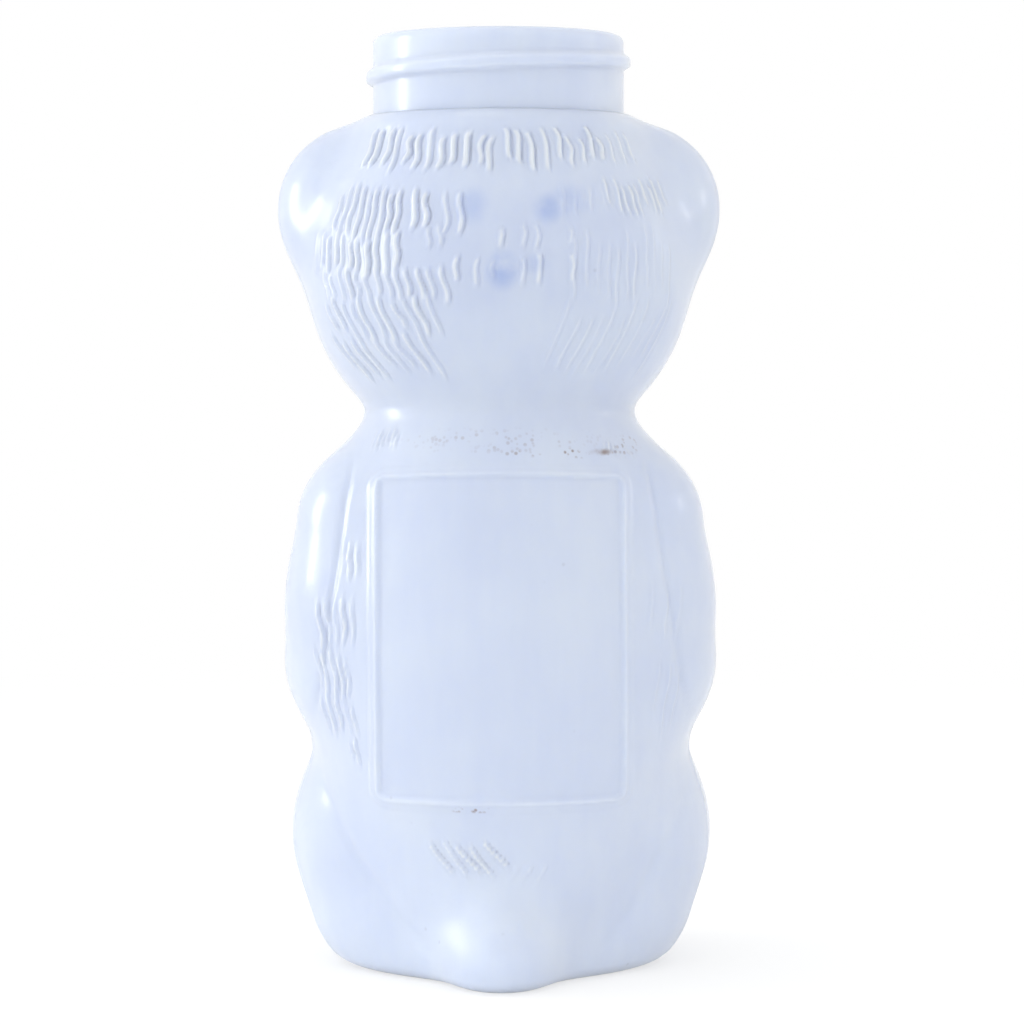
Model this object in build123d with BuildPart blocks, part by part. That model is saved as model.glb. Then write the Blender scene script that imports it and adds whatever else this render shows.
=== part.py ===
from build123d import *

import math
import os

# A bear-shaped honey bottle: one blow-moulded shell with a threaded neck.
# The bear faces -Y; its back, with the label panel and the tail, faces +Y.
# The origin lies on the neck's axis, on the plane that the bottle stands on.
# The skin is a blend of rounded lobes, one for each limb or swelling,
# and is lofted through level outlines of that blend.

# Whole bottle
shoulder_height = 120.4
wall = 1.1
base_edge_radius = 2.0
shoulder_edge_radius = 2.7

# Neck and its one-turn thread, of the 38 mm size with 6 turns to the inch
neck_radius = 17.7
neck_height = 11.2
neck_ledge = 0.4
bore_radius = 15.5
rim_radius = 1.2
rim_bore_radius = 0.4
thread_depth = 0.95
thread_foot_width = 2.8
thread_crest_width = 1.1
thread_pitch = 4.23
thread_start_rise = 4.1
thread_start_angle = -100.0
thread_turns = 1.0
thread_sink = 0.3
thread_fade_share = 0.08
thread_end_share = 0.15

# Head
head_half_width = 27.1
head_half_depth = 22.0
head_half_height = 25.7
head_back_shift = 1.0
head_height_share = 0.8155

# Ears
ear_half_width = 10.95
ear_half_depth = 7.6
ear_half_height = 11.5
ear_spread = 20.25
ear_front_shift = 1.0
ear_height_share = 0.8911
ear_blend = 7.35

# Face: muzzle, chin, nose and eyes
muzzle_half_width = 10.2
muzzle_half_depth = 8.4
muzzle_half_height = 8.0
muzzle_reach = 17.2
muzzle_height_share = 0.8015
chin_half_width = 7.5
chin_half_depth = 8.0
chin_half_height = 5.5
chin_reach = 13.5
chin_height_share = 0.7558
face_blend = 4.0
nose_half_width = 3.4
nose_radius = 2.4
nose_proud = 1.5
nose_height_share = 0.8255
eye_radius = 2.2
eye_proud = 0.9
eye_spread = 9.0
eye_height_share = 0.889

# Crown, the round shoulder under the neck
crown_foot_share = 0.83
crown_blend = 7.6

# Trunk, from the waist down to the base
trunk_half_width = 26.5
trunk_half_depth = 23.5
trunk_half_height = 47.0
trunk_back_shift = 1.5
trunk_height_share = 0.3738
waist_blend = 4.0

# Belly, rump, lap and seat, which fill the trunk out
belly_half_width = 20.0
belly_half_depth = 21.0
belly_half_height = 24.0
belly_front_shift = 3.5
belly_height_share = 0.3156
belly_blend = 6.0
rump_half_width = 17.0
rump_half_depth = 15.5
rump_half_height = 17.0
rump_back_shift = 5.0
rump_height_share = 0.1163
rump_blend = 8.0
lap_half_width = 17.0
lap_half_depth = 13.5
lap_half_height = 14.0
lap_front_shift = 8.0
lap_height_share = 0.0498
lap_blend = 6.0
seat_half_width = 21.0
seat_half_depth = 19.7
seat_half_height = 8.4
seat_front_shift = 1.4
seat_height_share = 0.0249
seat_blend = 5.8

# Arms: shoulder, upper arm, elbow and a forearm that ends in a paw on the belly
shoulder_spread = 18.5
shoulder_back_shift = 3.8
shoulder_joint_share = 0.5277
shoulder_radius = 9.95
upper_arm_spread = 17.95
upper_arm_back_shift = 2.4
upper_arm_height_share = 0.4419
upper_arm_radius = 11.35
elbow_spread = 18.85
elbow_back_shift = 0.3
elbow_height_share = 0.361
elbow_radius = 11.55
forearm_spread = 20.5
forearm_front_shift = 4.0
forearm_height_share = 0.3696
forearm_radius = 8.2
paw_spread = 10.5
paw_reach = 18.6
paw_height_share = 0.4153
paw_radius = 7.0
elbow_blend = 6.0
forearm_blend = 3.0
arm_blend = 7.9

# Legs: thigh, haunch and a foot whose sole faces forward
thigh_half_width = 16.3
thigh_half_depth = 16.4
thigh_half_height = 18.1
thigh_spread = 13.7
thigh_front_shift = 4.4
thigh_height_share = 0.1547
haunch_half_width = 13.7
haunch_half_depth = 15.0
haunch_half_height = 10.1
haunch_spread = 12.65
haunch_front_shift = 2.45
haunch_height_share = 0.064
foot_half_width = 9.8
foot_half_depth = 8.8
foot_half_height = 12.2
foot_spread = 13.4
foot_reach = 17.2
foot_height_share = 0.0789
sole_flatness = 3.0
haunch_blend = 5.0
foot_blend = 5.0
leg_blend = 6.6

# Tail
tail_half_width = 7.9
tail_half_depth = 10.0
tail_half_height = 7.15
tail_reach = 17.1
tail_height_share = 0.0327
tail_blend = 8.7

# Label panel on the back, framed by a raised bead
panel_half_width = 18.2
panel_low_share = 0.2035
panel_high_share = 0.5972
panel_corner_radius = 2.6
bead_width = 1.7
bead_height = 0.45

# Push-up under the base
pushup_radius = 10.5
pushup_depth = 2.6

# How finely the skin is drawn
outline_points = 72
level_step_share = 0.0215
edge_levels = 4
edge_start_angle = 30.0
search_steps = 18
thread_sections = 24


def ellipsoid(point, centre, half_sizes):
    """Signed distance, near the skin, from a point to an ellipsoid."""
    offsets = [p - c for p, c in zip(point, centre)]
    k0 = math.sqrt(sum((o / h) ** 2 for o, h in zip(offsets, half_sizes)))
    k1 = math.sqrt(sum((o / h**2) ** 2 for o, h in zip(offsets, half_sizes)))
    if k1 == 0:
        return -min(half_sizes)
    return k0 * (k0 - 1) / k1


def sole_pad(point, centre, half_sizes):
    """Distance to a rounded pad: an ellipse across, flattened along Y."""
    x, y, z = [abs(p - c) for p, c in zip(point, centre)]
    across = math.hypot(x / half_sizes[0], z / half_sizes[2])
    along = y / half_sizes[1]
    reach = (across**sole_flatness + along**sole_flatness) ** (1 / sole_flatness)
    if reach == 0:
        return -min(half_sizes)
    return math.sqrt(x * x + y * y + z * z) * (1 - 1 / reach)


def limb(point, start, end, start_radius, end_radius):
    """Distance to a rounded bar that tapers from one radius to another."""
    along = [e - s for s, e in zip(start, end)]
    offsets = [p - s for p, s in zip(point, start)]
    length_squared = sum(a * a for a in along)
    share = sum(o * a for o, a in zip(offsets, along)) / length_squared
    share = min(max(share, 0), 1)
    gap = math.sqrt(sum((o - share * a) ** 2 for o, a in zip(offsets, along)))
    return gap - start_radius - (end_radius - start_radius) * share


def join(first, second, blend):
    """Union of two distances, with a fillet about as wide as the blend."""
    nearness = max(blend - abs(first - second), 0) / blend
    return min(first, second) - nearness**3 * blend / 6


def at(x, y, height_share):
    """Centre of a lobe, at a share of the shoulder's height."""
    return (x, y, shoulder_height * height_share)


def head_distance(point):
    """Distance to the head, its ears, its muzzle and the crown under the neck."""
    x, y, z = point
    head = ellipsoid(
        point,
        at(0, head_back_shift, head_height_share),
        (head_half_width, head_half_depth, head_half_height),
    )
    edge_draw = shoulder_edge_radius * (1 - math.sin(math.radians(edge_start_angle)))
    crown_radius = neck_radius + neck_ledge + edge_draw
    crown = max(math.hypot(x, y) - crown_radius, shoulder_height * crown_foot_share - z)
    ear = ellipsoid(
        point,
        at(ear_spread, -ear_front_shift, ear_height_share),
        (ear_half_width, ear_half_depth, ear_half_height),
    )
    muzzle = ellipsoid(
        point,
        at(0, -muzzle_reach, muzzle_height_share),
        (muzzle_half_width, muzzle_half_depth, muzzle_half_height),
    )
    chin = ellipsoid(
        point,
        at(0, -chin_reach, chin_height_share),
        (chin_half_width, chin_half_depth, chin_half_height),
    )
    head = join(join(head, crown, crown_blend), ear, ear_blend)
    return join(head, join(muzzle, chin, face_blend), face_blend)


def trunk_distance(point):
    """Distance to the trunk with its belly and rump."""
    trunk = ellipsoid(
        point,
        at(0, trunk_back_shift, trunk_height_share),
        (trunk_half_width, trunk_half_depth, trunk_half_height),
    )
    rump = ellipsoid(
        point,
        at(0, rump_back_shift, rump_height_share),
        (rump_half_width, rump_half_depth, rump_half_height),
    )
    belly = ellipsoid(
        point,
        at(0, -belly_front_shift, belly_height_share),
        (belly_half_width, belly_half_depth, belly_half_height),
    )
    return join(join(trunk, rump, rump_blend), belly, belly_blend)


def arm_distance(point):
    """Distance to one arm, from the shoulder to the paw."""
    shoulder = at(shoulder_spread, shoulder_back_shift, shoulder_joint_share)
    upper_arm = at(upper_arm_spread, upper_arm_back_shift, upper_arm_height_share)
    elbow = at(elbow_spread, elbow_back_shift, elbow_height_share)
    forearm = at(forearm_spread, -forearm_front_shift, forearm_height_share)
    paw = at(paw_spread, -paw_reach, paw_height_share)
    upper = limb(point, shoulder, upper_arm, shoulder_radius, upper_arm_radius)
    lower = limb(point, upper_arm, elbow, upper_arm_radius, elbow_radius)
    front = limb(point, forearm, paw, forearm_radius, paw_radius)
    return join(join(upper, lower, elbow_blend), front, forearm_blend)


def leg_distance(point):
    """Distance to one leg: thigh, haunch and foot."""
    thigh = ellipsoid(
        point,
        at(thigh_spread, -thigh_front_shift, thigh_height_share),
        (thigh_half_width, thigh_half_depth, thigh_half_height),
    )
    haunch = ellipsoid(
        point,
        at(haunch_spread, -haunch_front_shift, haunch_height_share),
        (haunch_half_width, haunch_half_depth, haunch_half_height),
    )
    foot = sole_pad(
        point,
        at(foot_spread, -foot_reach, foot_height_share),
        (foot_half_width, foot_half_depth, foot_half_height),
    )
    return join(join(thigh, haunch, haunch_blend), foot, foot_blend)


def base_distance(point):
    """Distance to the lap between the feet and the seat that the bear sits on."""
    lap = ellipsoid(
        point,
        at(0, -lap_front_shift, lap_height_share),
        (lap_half_width, lap_half_depth, lap_half_height),
    )
    seat = ellipsoid(
        point,
        at(0, -seat_front_shift, seat_height_share),
        (seat_half_width, seat_half_depth, seat_half_height),
    )
    return lap, seat


def bear_distance(point):
    """Distance to the whole skin, negative inside. Left and right are alike."""
    point = (abs(point[0]), point[1], point[2])
    lap, seat = base_distance(point)
    tail = ellipsoid(
        point,
        at(0, tail_reach, tail_height_share),
        (tail_half_width, tail_half_depth, tail_half_height),
    )
    body = join(trunk_distance(point), arm_distance(point), arm_blend)
    body = join(join(body, lap, lap_blend), seat, seat_blend)
    body = join(body, leg_distance(point), leg_blend)
    body = join(body, tail, tail_blend)
    return join(head_distance(point), body, waist_blend)


def face_depth(x, height):
    """How far forward of the axis the face's skin lies, at one place."""
    inside, outside = 0, head_half_depth + muzzle_half_depth
    for _ in range(search_steps):
        middle = (inside + outside) / 2
        if bear_distance((x, -middle, height)) < 0:
            inside = middle
        else:
            outside = middle
    return (inside + outside) / 2


def edge_steps(edge_radius):
    """Rise and inset of each outline in a rounded edge, from its flat face up."""
    if edge_radius == 0:
        return [(0, 0)]
    start = math.radians(edge_start_angle)
    turns = [start + (math.pi / 2 - start) * k / edge_levels for k in range(edge_levels + 1)]
    return [
        (edge_radius * (math.cos(start) - math.cos(turn)), edge_radius * (1 - math.sin(turn)))
        for turn in turns
    ]


def skin_radius(angle, height, inset):
    """Distance from the axis to the skin, drawn in by an inset, along one ray."""
    inside, outside = 0, trunk_half_width + head_half_width
    for _ in range(search_steps):
        middle = (inside + outside) / 2
        point = (middle * math.cos(angle), middle * math.sin(angle), height)
        if bear_distance(point) < -inset:
            inside = middle
        else:
            outside = middle
    return (inside + outside) / 2


def outline(height, inset):
    """Points round the skin at one height; the left half mirrors the right."""
    half = outline_points // 2
    angles = [math.pi * (k / half - 1 / 2) for k in range(half + 1)]
    radii = [skin_radius(angle, height, inset) for angle in angles]
    right = [(r * math.cos(a), r * math.sin(a)) for r, a in zip(radii, angles)]
    left = [(-x, y) for x, y in reversed(right[1:-1])]
    return right + left


def levels(floor, roof, low_edge, high_edge):
    """Height and inset of each outline, closer together in the rounded edges."""
    low = [(floor + rise, inset) for rise, inset in edge_steps(low_edge)]
    high = [(roof - rise, inset) for rise, inset in reversed(edge_steps(high_edge))]
    start, end = low[-1][0], high[0][0]
    steps = math.ceil((end - start) / (shoulder_height * level_step_share))
    middle = [(start + (end - start) * k / steps, 0) for k in range(1, steps)]
    return low + middle + high


def skin_sections(floor, roof, low_edge, high_edge, depth):
    """Level faces of the skin, drawn in by a depth all over, from a floor to a roof."""
    knots = [k / outline_points for k in range(outline_points + 1)]
    sections = []
    for height, inset in levels(floor, roof, low_edge, high_edge):
        points = outline(height, inset + depth)
        with BuildSketch(Plane.XY.offset(height)) as section:
            with BuildLine():
                add(Edge.make_spline(points, periodic=True, parameters=knots))
            make_face()
        sections.append(section.sketch)
    return sections


# Sizes that follow from the others
rim_height = shoulder_height + neck_height
panel_low = shoulder_height * panel_low_share
panel_high = shoulder_height * panel_high_share
panel_middle = (panel_low + panel_high) / 2
panel_height = panel_high - panel_low
inner_base_radius = max(base_edge_radius - wall, wall)
inner_shoulder_radius = max(shoulder_edge_radius - wall, wall)
pushup_sphere = (pushup_radius**2 + pushup_depth**2) / (2 * pushup_depth)
back_reach = trunk_back_shift + trunk_half_depth + tail_half_depth
nose_height = shoulder_height * nose_height_share
nose_reach = face_depth(0, nose_height) - nose_radius + nose_proud
eye_height = shoulder_height * eye_height_share
eye_reach = face_depth(eye_spread, eye_height) - eye_radius + eye_proud

# Space inside the body: the skin drawn in by the wall
with BuildPart() as cavity:
    loft(skin_sections(wall, shoulder_height - wall, inner_base_radius, inner_shoulder_radius, wall))

# Push-up: a thin dome that stands in the floor, so that the base rests on its rim
with BuildPart() as dome:
    with Locations((0, 0, pushup_depth - pushup_sphere)):
        Sphere(pushup_sphere + wall)
    Cylinder(
        pushup_sphere,
        pushup_depth + wall,
        align=(Align.CENTER, Align.CENTER, Align.MIN),
        mode=Mode.INTERSECT,
    )

# Bead round the label panel: a frame across the back, as high as the bead stands
with BuildPart() as bead:
    loft(skin_sections(panel_low - bead_width, panel_high + bead_width, 0, 0, -bead_height))
    with BuildSketch(Plane.XZ.offset(-back_reach)) as frame:
        with Locations((0, panel_middle)):
            RectangleRounded(2 * panel_half_width, panel_height, panel_corner_radius)
            RectangleRounded(
                2 * (panel_half_width - bead_width),
                panel_height - 2 * bead_width,
                panel_corner_radius - bead_width,
                mode=Mode.SUBTRACT,
            )
    extrude(frame.sketch, amount=back_reach - wall, mode=Mode.INTERSECT)

# Nose: a rounded bar across the tip of the muzzle
with BuildPart() as nose:
    with BuildSketch(Plane.XY.offset(nose_height)):
        with Locations((0, -nose_reach)):
            Ellipse(nose_half_width, nose_radius)
        with Locations((0, -nose_reach - nose_radius)):
            Rectangle(2 * nose_half_width, 2 * nose_radius, mode=Mode.SUBTRACT)
    revolve(axis=Axis((0, -nose_reach, nose_height), (1, 0, 0)))


def thread_section(share):
    """Profile of the thread at a share of its length, low and narrow at both ends."""
    turn = 360 * thread_turns * share
    fade = min(share, 1 - share) / thread_fade_share
    height = thread_depth * min(max(fade, thread_end_share), 1)
    angle = math.radians(thread_start_angle + turn)
    outward = Vector(math.cos(angle), math.sin(angle), 0)
    rise = shoulder_height + thread_start_rise + thread_pitch * turn / 360
    plane = Plane(
        origin=outward * neck_radius + Vector(0, 0, rise),
        x_dir=outward,
        z_dir=Vector(math.sin(angle), -math.cos(angle), 0),
    )
    foot, crest = thread_foot_width / 2, thread_crest_width / 2
    with BuildSketch(plane) as section:
        with BuildLine():
            Polyline(
                (-thread_sink, -foot),
                (height, -crest),
                (height, crest),
                (-thread_sink, foot),
                close=True,
            )
        make_face()
    return section.sketch


# Thread: one turn round the neck, climbing to the right
with BuildPart() as thread:
    loft([thread_section(k / thread_sections) for k in range(thread_sections + 1)])

# Bottle: the skin hollowed out, with its dome, bead, neck and thread
with BuildPart() as bottle:
    loft(skin_sections(0, shoulder_height, base_edge_radius, shoulder_edge_radius, 0))
    add(bead.part)
    add(nose.part)
    with Locations((-eye_spread, -eye_reach, eye_height), (eye_spread, -eye_reach, eye_height)):
        Sphere(eye_radius)
    add(cavity.part, mode=Mode.SUBTRACT)
    add(dome.part)
    with Locations((0, 0, pushup_depth - pushup_sphere)):
        Sphere(pushup_sphere, mode=Mode.SUBTRACT)
    with Locations((0, 0, shoulder_height - wall / 2)):
        Cylinder(neck_radius, neck_height + wall / 2, align=(Align.CENTER, Align.CENTER, Align.MIN))
    with Locations((0, 0, rim_height)):
        Cylinder(
            bore_radius,
            neck_height + 2 * wall,
            align=(Align.CENTER, Align.CENTER, Align.MAX),
            mode=Mode.SUBTRACT,
        )
    add(thread.part)
    rim = bottle.edges().filter_by(GeomType.CIRCLE).group_by(Axis.Z)[-1].sort_by(SortBy.RADIUS)
    fillet(rim[-1], rim_radius)
    fillet(rim[0], rim_bore_radius)

os.makedirs("parts", exist_ok=True)
bottle.part.label = "bottle"
export_step(bottle.part, "parts/bottle.step")
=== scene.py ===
"""Looks of a bear-shaped squeeze bottle: a milky, translucent, blow-moulded shell.

The bear faces -Y and is photographed from behind. Everything is in metres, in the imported
model's frame: the origin on the neck's axis, on the plane that the bottle stands on.
"""

import logging
import math
from dataclasses import dataclass, field
from enum import Enum

import bpy
import numpy as np
from mathutils import Euler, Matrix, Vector


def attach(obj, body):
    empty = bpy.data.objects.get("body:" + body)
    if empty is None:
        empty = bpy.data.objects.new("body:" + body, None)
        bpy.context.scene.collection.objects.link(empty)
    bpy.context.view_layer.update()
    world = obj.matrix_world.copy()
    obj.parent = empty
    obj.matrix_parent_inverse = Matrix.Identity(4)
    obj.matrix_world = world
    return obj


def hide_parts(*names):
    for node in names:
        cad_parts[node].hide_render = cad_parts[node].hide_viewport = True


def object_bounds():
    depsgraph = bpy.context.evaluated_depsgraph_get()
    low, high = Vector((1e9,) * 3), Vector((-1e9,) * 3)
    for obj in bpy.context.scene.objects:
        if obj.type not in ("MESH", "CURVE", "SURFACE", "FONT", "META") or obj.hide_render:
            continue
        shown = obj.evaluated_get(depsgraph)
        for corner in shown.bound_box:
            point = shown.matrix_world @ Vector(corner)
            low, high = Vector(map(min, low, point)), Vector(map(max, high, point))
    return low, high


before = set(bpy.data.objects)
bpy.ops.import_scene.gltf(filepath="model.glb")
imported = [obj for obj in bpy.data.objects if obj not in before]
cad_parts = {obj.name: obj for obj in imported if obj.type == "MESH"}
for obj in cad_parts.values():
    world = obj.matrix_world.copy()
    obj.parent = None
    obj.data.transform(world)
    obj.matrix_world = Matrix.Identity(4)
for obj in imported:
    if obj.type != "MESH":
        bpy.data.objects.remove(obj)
CAD_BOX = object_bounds()

MM = 0.001
DEG = math.pi / 180
RIM_HEIGHT = CAD_BOX[1].z
NECK_HEIGHT = 11.2 * MM
SHOULDER_HEIGHT = RIM_HEIGHT - NECK_HEIGHT
WALL = 1.1 * MM
NEAR_ZERO = 0.001
TINY = 1e-12
WHITE = (1.0, 1.0, 1.0, 1.0)

log = logging.getLogger("bear_bottle")


class Side(Enum):
    """Which way a detail of the bottle faces."""

    FRONT = -1
    BACK = 1


class Zone(Enum):
    """Parts of the bottle's surface that differ in finish, in the order of FINISHES."""

    SKIN = 0
    PANEL = 1
    NECK = 2


def smooth_step(low: float, high: float, value: np.ndarray) -> np.ndarray:
    """Ease from 0 to 1 between two values.

    Args:
        low: value at which the result leaves 0.
        high: value at which the result reaches 1.
        value: values to ease.

    Returns:
        Eased values from 0 to 1.
    """
    share = np.clip((value - low) / (high - low), 0, 1)
    return share * share * (3 - 2 * share)


def join(first: np.ndarray, second: np.ndarray, blend: float) -> np.ndarray:
    """Union of two distances with a fillet.

    Args:
        first: distances to one form.
        second: distances to the other form.
        blend: about how wide the fillet is.

    Returns:
        Distances to the two forms together.
    """
    nearness = np.maximum(blend - np.abs(first - second), 0) / blend
    return np.minimum(first, second) - nearness**3 * blend / 6


@dataclass(frozen=True)
class Lobe:
    """A rounded swelling: an ellipsoid, or a pad that is flattened along Y.

    The height is a share of the shoulder's height, the other sizes are millimetres.
    """

    spread: float
    back: float
    height_share: float
    half_sizes: tuple[float, float, float]
    flatness: float = 2.0

    def offsets(self, x: np.ndarray, y: np.ndarray, z: np.ndarray) -> tuple:
        """Offsets of points from the lobe's centre."""
        return x - self.spread * MM, y - self.back * MM, z - self.height_share * SHOULDER_HEIGHT

    def distance(self, x: np.ndarray, y: np.ndarray, z: np.ndarray) -> np.ndarray:
        """Distance from points to the lobe's skin, near the skin.

        Args:
            x: points' X, already without its sign.
            y: points' Y.
            z: points' Z.

        Returns:
            Signed distances, negative inside.
        """
        dx, dy, dz = self.offsets(x, y, z)
        a, b, c = (half * MM for half in self.half_sizes)
        if self.flatness == 2.0:
            near = np.sqrt((dx / a) ** 2 + (dy / b) ** 2 + (dz / c) ** 2)
            slope = np.sqrt((dx / a**2) ** 2 + (dy / b**2) ** 2 + (dz / c**2) ** 2)
            return near * (near - 1) / np.maximum(slope, 1)
        across = np.sqrt((dx / a) ** 2 + (dz / c) ** 2)
        reach = (across**self.flatness + np.abs(dy / b) ** self.flatness) ** (1 / self.flatness)
        return np.sqrt(dx**2 + dy**2 + dz**2) * (1 - 1 / np.maximum(reach, NEAR_ZERO))


@dataclass(frozen=True)
class Bone:
    """A tapered, rounded bar between two joints of a limb.

    Joints are (spread, back, height share), with the radius at each, in millimetres.
    """

    start: tuple[float, float, float]
    end: tuple[float, float, float]
    start_radius: float
    end_radius: float

    def distance(self, x: np.ndarray, y: np.ndarray, z: np.ndarray) -> np.ndarray:
        """Distance from points to the bar's skin.

        Args:
            x: points' X, already without its sign.
            y: points' Y.
            z: points' Z.

        Returns:
            Signed distances, negative inside.
        """
        head, foot = (
            np.array((spread * MM, back * MM, share * SHOULDER_HEIGHT))
            for spread, back, share in (self.start, self.end)
        )
        along = foot - head
        dx, dy, dz = x - head[0], y - head[1], z - head[2]
        share = (dx * along[0] + dy * along[1] + dz * along[2]) / float(along @ along)
        share = np.clip(share, 0, 1)
        gap = np.sqrt(
            (dx - share * along[0]) ** 2 + (dy - share * along[1]) ** 2 + (dz - share * along[2]) ** 2
        )
        return gap - (self.start_radius + (self.end_radius - self.start_radius) * share) * MM


def blended(
    place: tuple[np.ndarray, np.ndarray, np.ndarray],
    first: Lobe | Bone,
    *others: tuple[Lobe | Bone, float],
) -> np.ndarray:
    """Distance to several forms, joined one after the other.

    Args:
        place: points' X, Y and Z.
        first: the form to start from.
        others: each further form, with the width of its fillet in millimetres.

    Returns:
        Signed distances, negative inside.
    """
    total = first.distance(*place)
    for form, blend in others:
        total = join(total, form.distance(*place), blend * MM)
    return total


@dataclass(frozen=True)
class BearForm:
    """The bear's smooth skin, as a blend of lobes. Left and right are alike.

    A blend is the width of the fillet where a form joins the rest. Blends, the crown's radius
    and the widest reach from the axis are millimetres. The skin is found by halving a ray.
    """

    head: Lobe = Lobe(0, 1.0, 0.8155, (27.1, 22.0, 25.7))
    ear: Lobe = Lobe(20.25, -1.0, 0.8911, (10.95, 7.6, 11.5))
    muzzle: Lobe = Lobe(0, -17.2, 0.8015, (10.2, 8.4, 8.0))
    chin: Lobe = Lobe(0, -13.5, 0.7558, (7.5, 8.0, 5.5))
    trunk: Lobe = Lobe(0, 1.5, 0.3738, (26.5, 23.5, 47.0))
    rump: Lobe = Lobe(0, 5.0, 0.1163, (17.0, 15.5, 17.0))
    belly: Lobe = Lobe(0, -3.5, 0.3156, (20.0, 21.0, 24.0))
    lap: Lobe = Lobe(0, -8.0, 0.0498, (17.0, 13.5, 14.0))
    seat: Lobe = Lobe(0, -1.4, 0.0249, (21.0, 19.7, 8.4))
    thigh: Lobe = Lobe(13.7, -4.4, 0.1547, (16.3, 16.4, 18.1))
    haunch: Lobe = Lobe(12.65, -2.45, 0.064, (13.7, 15.0, 10.1))
    foot: Lobe = Lobe(13.4, -17.2, 0.0789, (9.8, 8.8, 12.2), flatness=3.0)
    tail: Lobe = Lobe(0, 17.1, 0.0327, (7.9, 10.0, 7.15))
    upper_arm: Bone = Bone((18.5, 3.8, 0.5277), (17.95, 2.4, 0.4419), 9.95, 11.35)
    elbow: Bone = Bone((17.95, 2.4, 0.4419), (18.85, 0.3, 0.361), 11.35, 11.55)
    forearm: Bone = Bone((20.5, -4.0, 0.3696), (10.5, -18.6, 0.4153), 8.2, 7.0)
    crown_radius: float = 19.45
    crown_foot_share: float = 0.83
    crown_blend: float = 7.6
    ear_blend: float = 7.35
    chin_blend: float = 4.0
    face_blend: float = 4.0
    waist_blend: float = 4.0
    rump_blend: float = 8.0
    belly_blend: float = 6.0
    elbow_blend: float = 6.0
    forearm_blend: float = 3.0
    arm_blend: float = 7.9
    lap_blend: float = 6.0
    seat_blend: float = 5.8
    haunch_blend: float = 5.0
    foot_blend: float = 5.0
    leg_blend: float = 6.6
    tail_blend: float = 8.7
    widest_reach: float = 60.0
    halvings: int = 20

    def skull_distance(self, x: np.ndarray, y: np.ndarray, z: np.ndarray) -> np.ndarray:
        """Distance to the skull and the round crown under the neck."""
        crown = np.maximum(
            np.hypot(x, y) - self.crown_radius * MM, self.crown_foot_share * SHOULDER_HEIGHT - z
        )
        return join(self.head.distance(x, y, z), crown, self.crown_blend * MM)

    def face_distance(self, x: np.ndarray, y: np.ndarray, z: np.ndarray) -> np.ndarray:
        """Distance to the muzzle and chin."""
        return blended((x, y, z), self.muzzle, (self.chin, self.chin_blend))

    def arm_distance(self, x: np.ndarray, y: np.ndarray, z: np.ndarray) -> np.ndarray:
        """Distance to the nearer arm, from the shoulder to the paw."""
        lower = (self.elbow, self.elbow_blend), (self.forearm, self.forearm_blend)
        return blended((x, y, z), self.upper_arm, *lower)

    def leg_distance(self, x: np.ndarray, y: np.ndarray, z: np.ndarray) -> np.ndarray:
        """Distance to the nearer leg: thigh, haunch and foot."""
        lower = (self.haunch, self.haunch_blend), (self.foot, self.foot_blend)
        return blended((x, y, z), self.thigh, *lower)

    def trunk_distance(self, x: np.ndarray, y: np.ndarray, z: np.ndarray) -> np.ndarray:
        """Distance to the trunk with its belly and rump."""
        swellings = (self.rump, self.rump_blend), (self.belly, self.belly_blend)
        return blended((x, y, z), self.trunk, *swellings)

    def distance(self, x: np.ndarray, y: np.ndarray, z: np.ndarray) -> np.ndarray:
        """Distance from points to the whole skin.

        Args:
            x: points' X.
            y: points' Y.
            z: points' Z.

        Returns:
            Signed distances, negative inside.
        """
        x = np.abs(x)
        body = self.trunk_distance(x, y, z)
        body = join(body, self.arm_distance(x, y, z), self.arm_blend * MM)
        body = join(body, self.lap.distance(x, y, z), self.lap_blend * MM)
        body = join(body, self.seat.distance(x, y, z), self.seat_blend * MM)
        body = join(body, self.leg_distance(x, y, z), self.leg_blend * MM)
        body = join(body, self.tail.distance(x, y, z), self.tail_blend * MM)
        head = join(self.skull_distance(x, y, z), self.ear.distance(x, y, z), self.ear_blend * MM)
        head = join(head, self.face_distance(x, y, z), self.face_blend * MM)
        return join(head, body, self.waist_blend * MM)

    def radii(self, azimuths: np.ndarray, heights: np.ndarray, insets: np.ndarray) -> np.ndarray:
        """Distance from the axis to the skin, along a ray for each azimuth and height.

        Args:
            azimuths: angles from +X towards +Y, one for each column.
            heights: heights, one for each row.
            insets: how far the skin is drawn in, one for each row.

        Returns:
            Radii, as rows by columns.
        """
        z = np.broadcast_to(heights[:, None], (len(heights), len(azimuths)))
        level = -insets[:, None]
        inside = np.zeros(z.shape)
        outside = np.full(z.shape, self.widest_reach * MM)
        for _ in range(self.halvings):
            middle = (inside + outside) / 2
            within = self.distance(middle * np.cos(azimuths), middle * np.sin(azimuths), z) < level
            inside = np.where(within, middle, inside)
            outside = np.where(within, outside, middle)
        return (inside + outside) / 2


@dataclass
class SkinGrid:
    """Points of the outer skin as rows by columns, with what the reliefs need to know."""

    azimuths: np.ndarray
    points: np.ndarray
    normals: np.ndarray

    @property
    def x(self) -> np.ndarray:
        """X of every point."""
        return self.points[..., 0]

    @property
    def y(self) -> np.ndarray:
        """Y of every point."""
        return self.points[..., 1]

    @property
    def z(self) -> np.ndarray:
        """Z of every point."""
        return self.points[..., 2]


def grid_normals(points: np.ndarray) -> np.ndarray:
    """Outward normals of a closed grid of rows round the axis.

    Args:
        points: rows by columns by 3.

    Returns:
        Unit normals of the same shape.
    """
    around = np.roll(points, -1, axis=1) - np.roll(points, 1, axis=1)
    up = np.gradient(points, axis=0)
    normals = np.cross(around, up)
    return normals / np.maximum(np.linalg.norm(normals, axis=2, keepdims=True), TINY)


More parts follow.
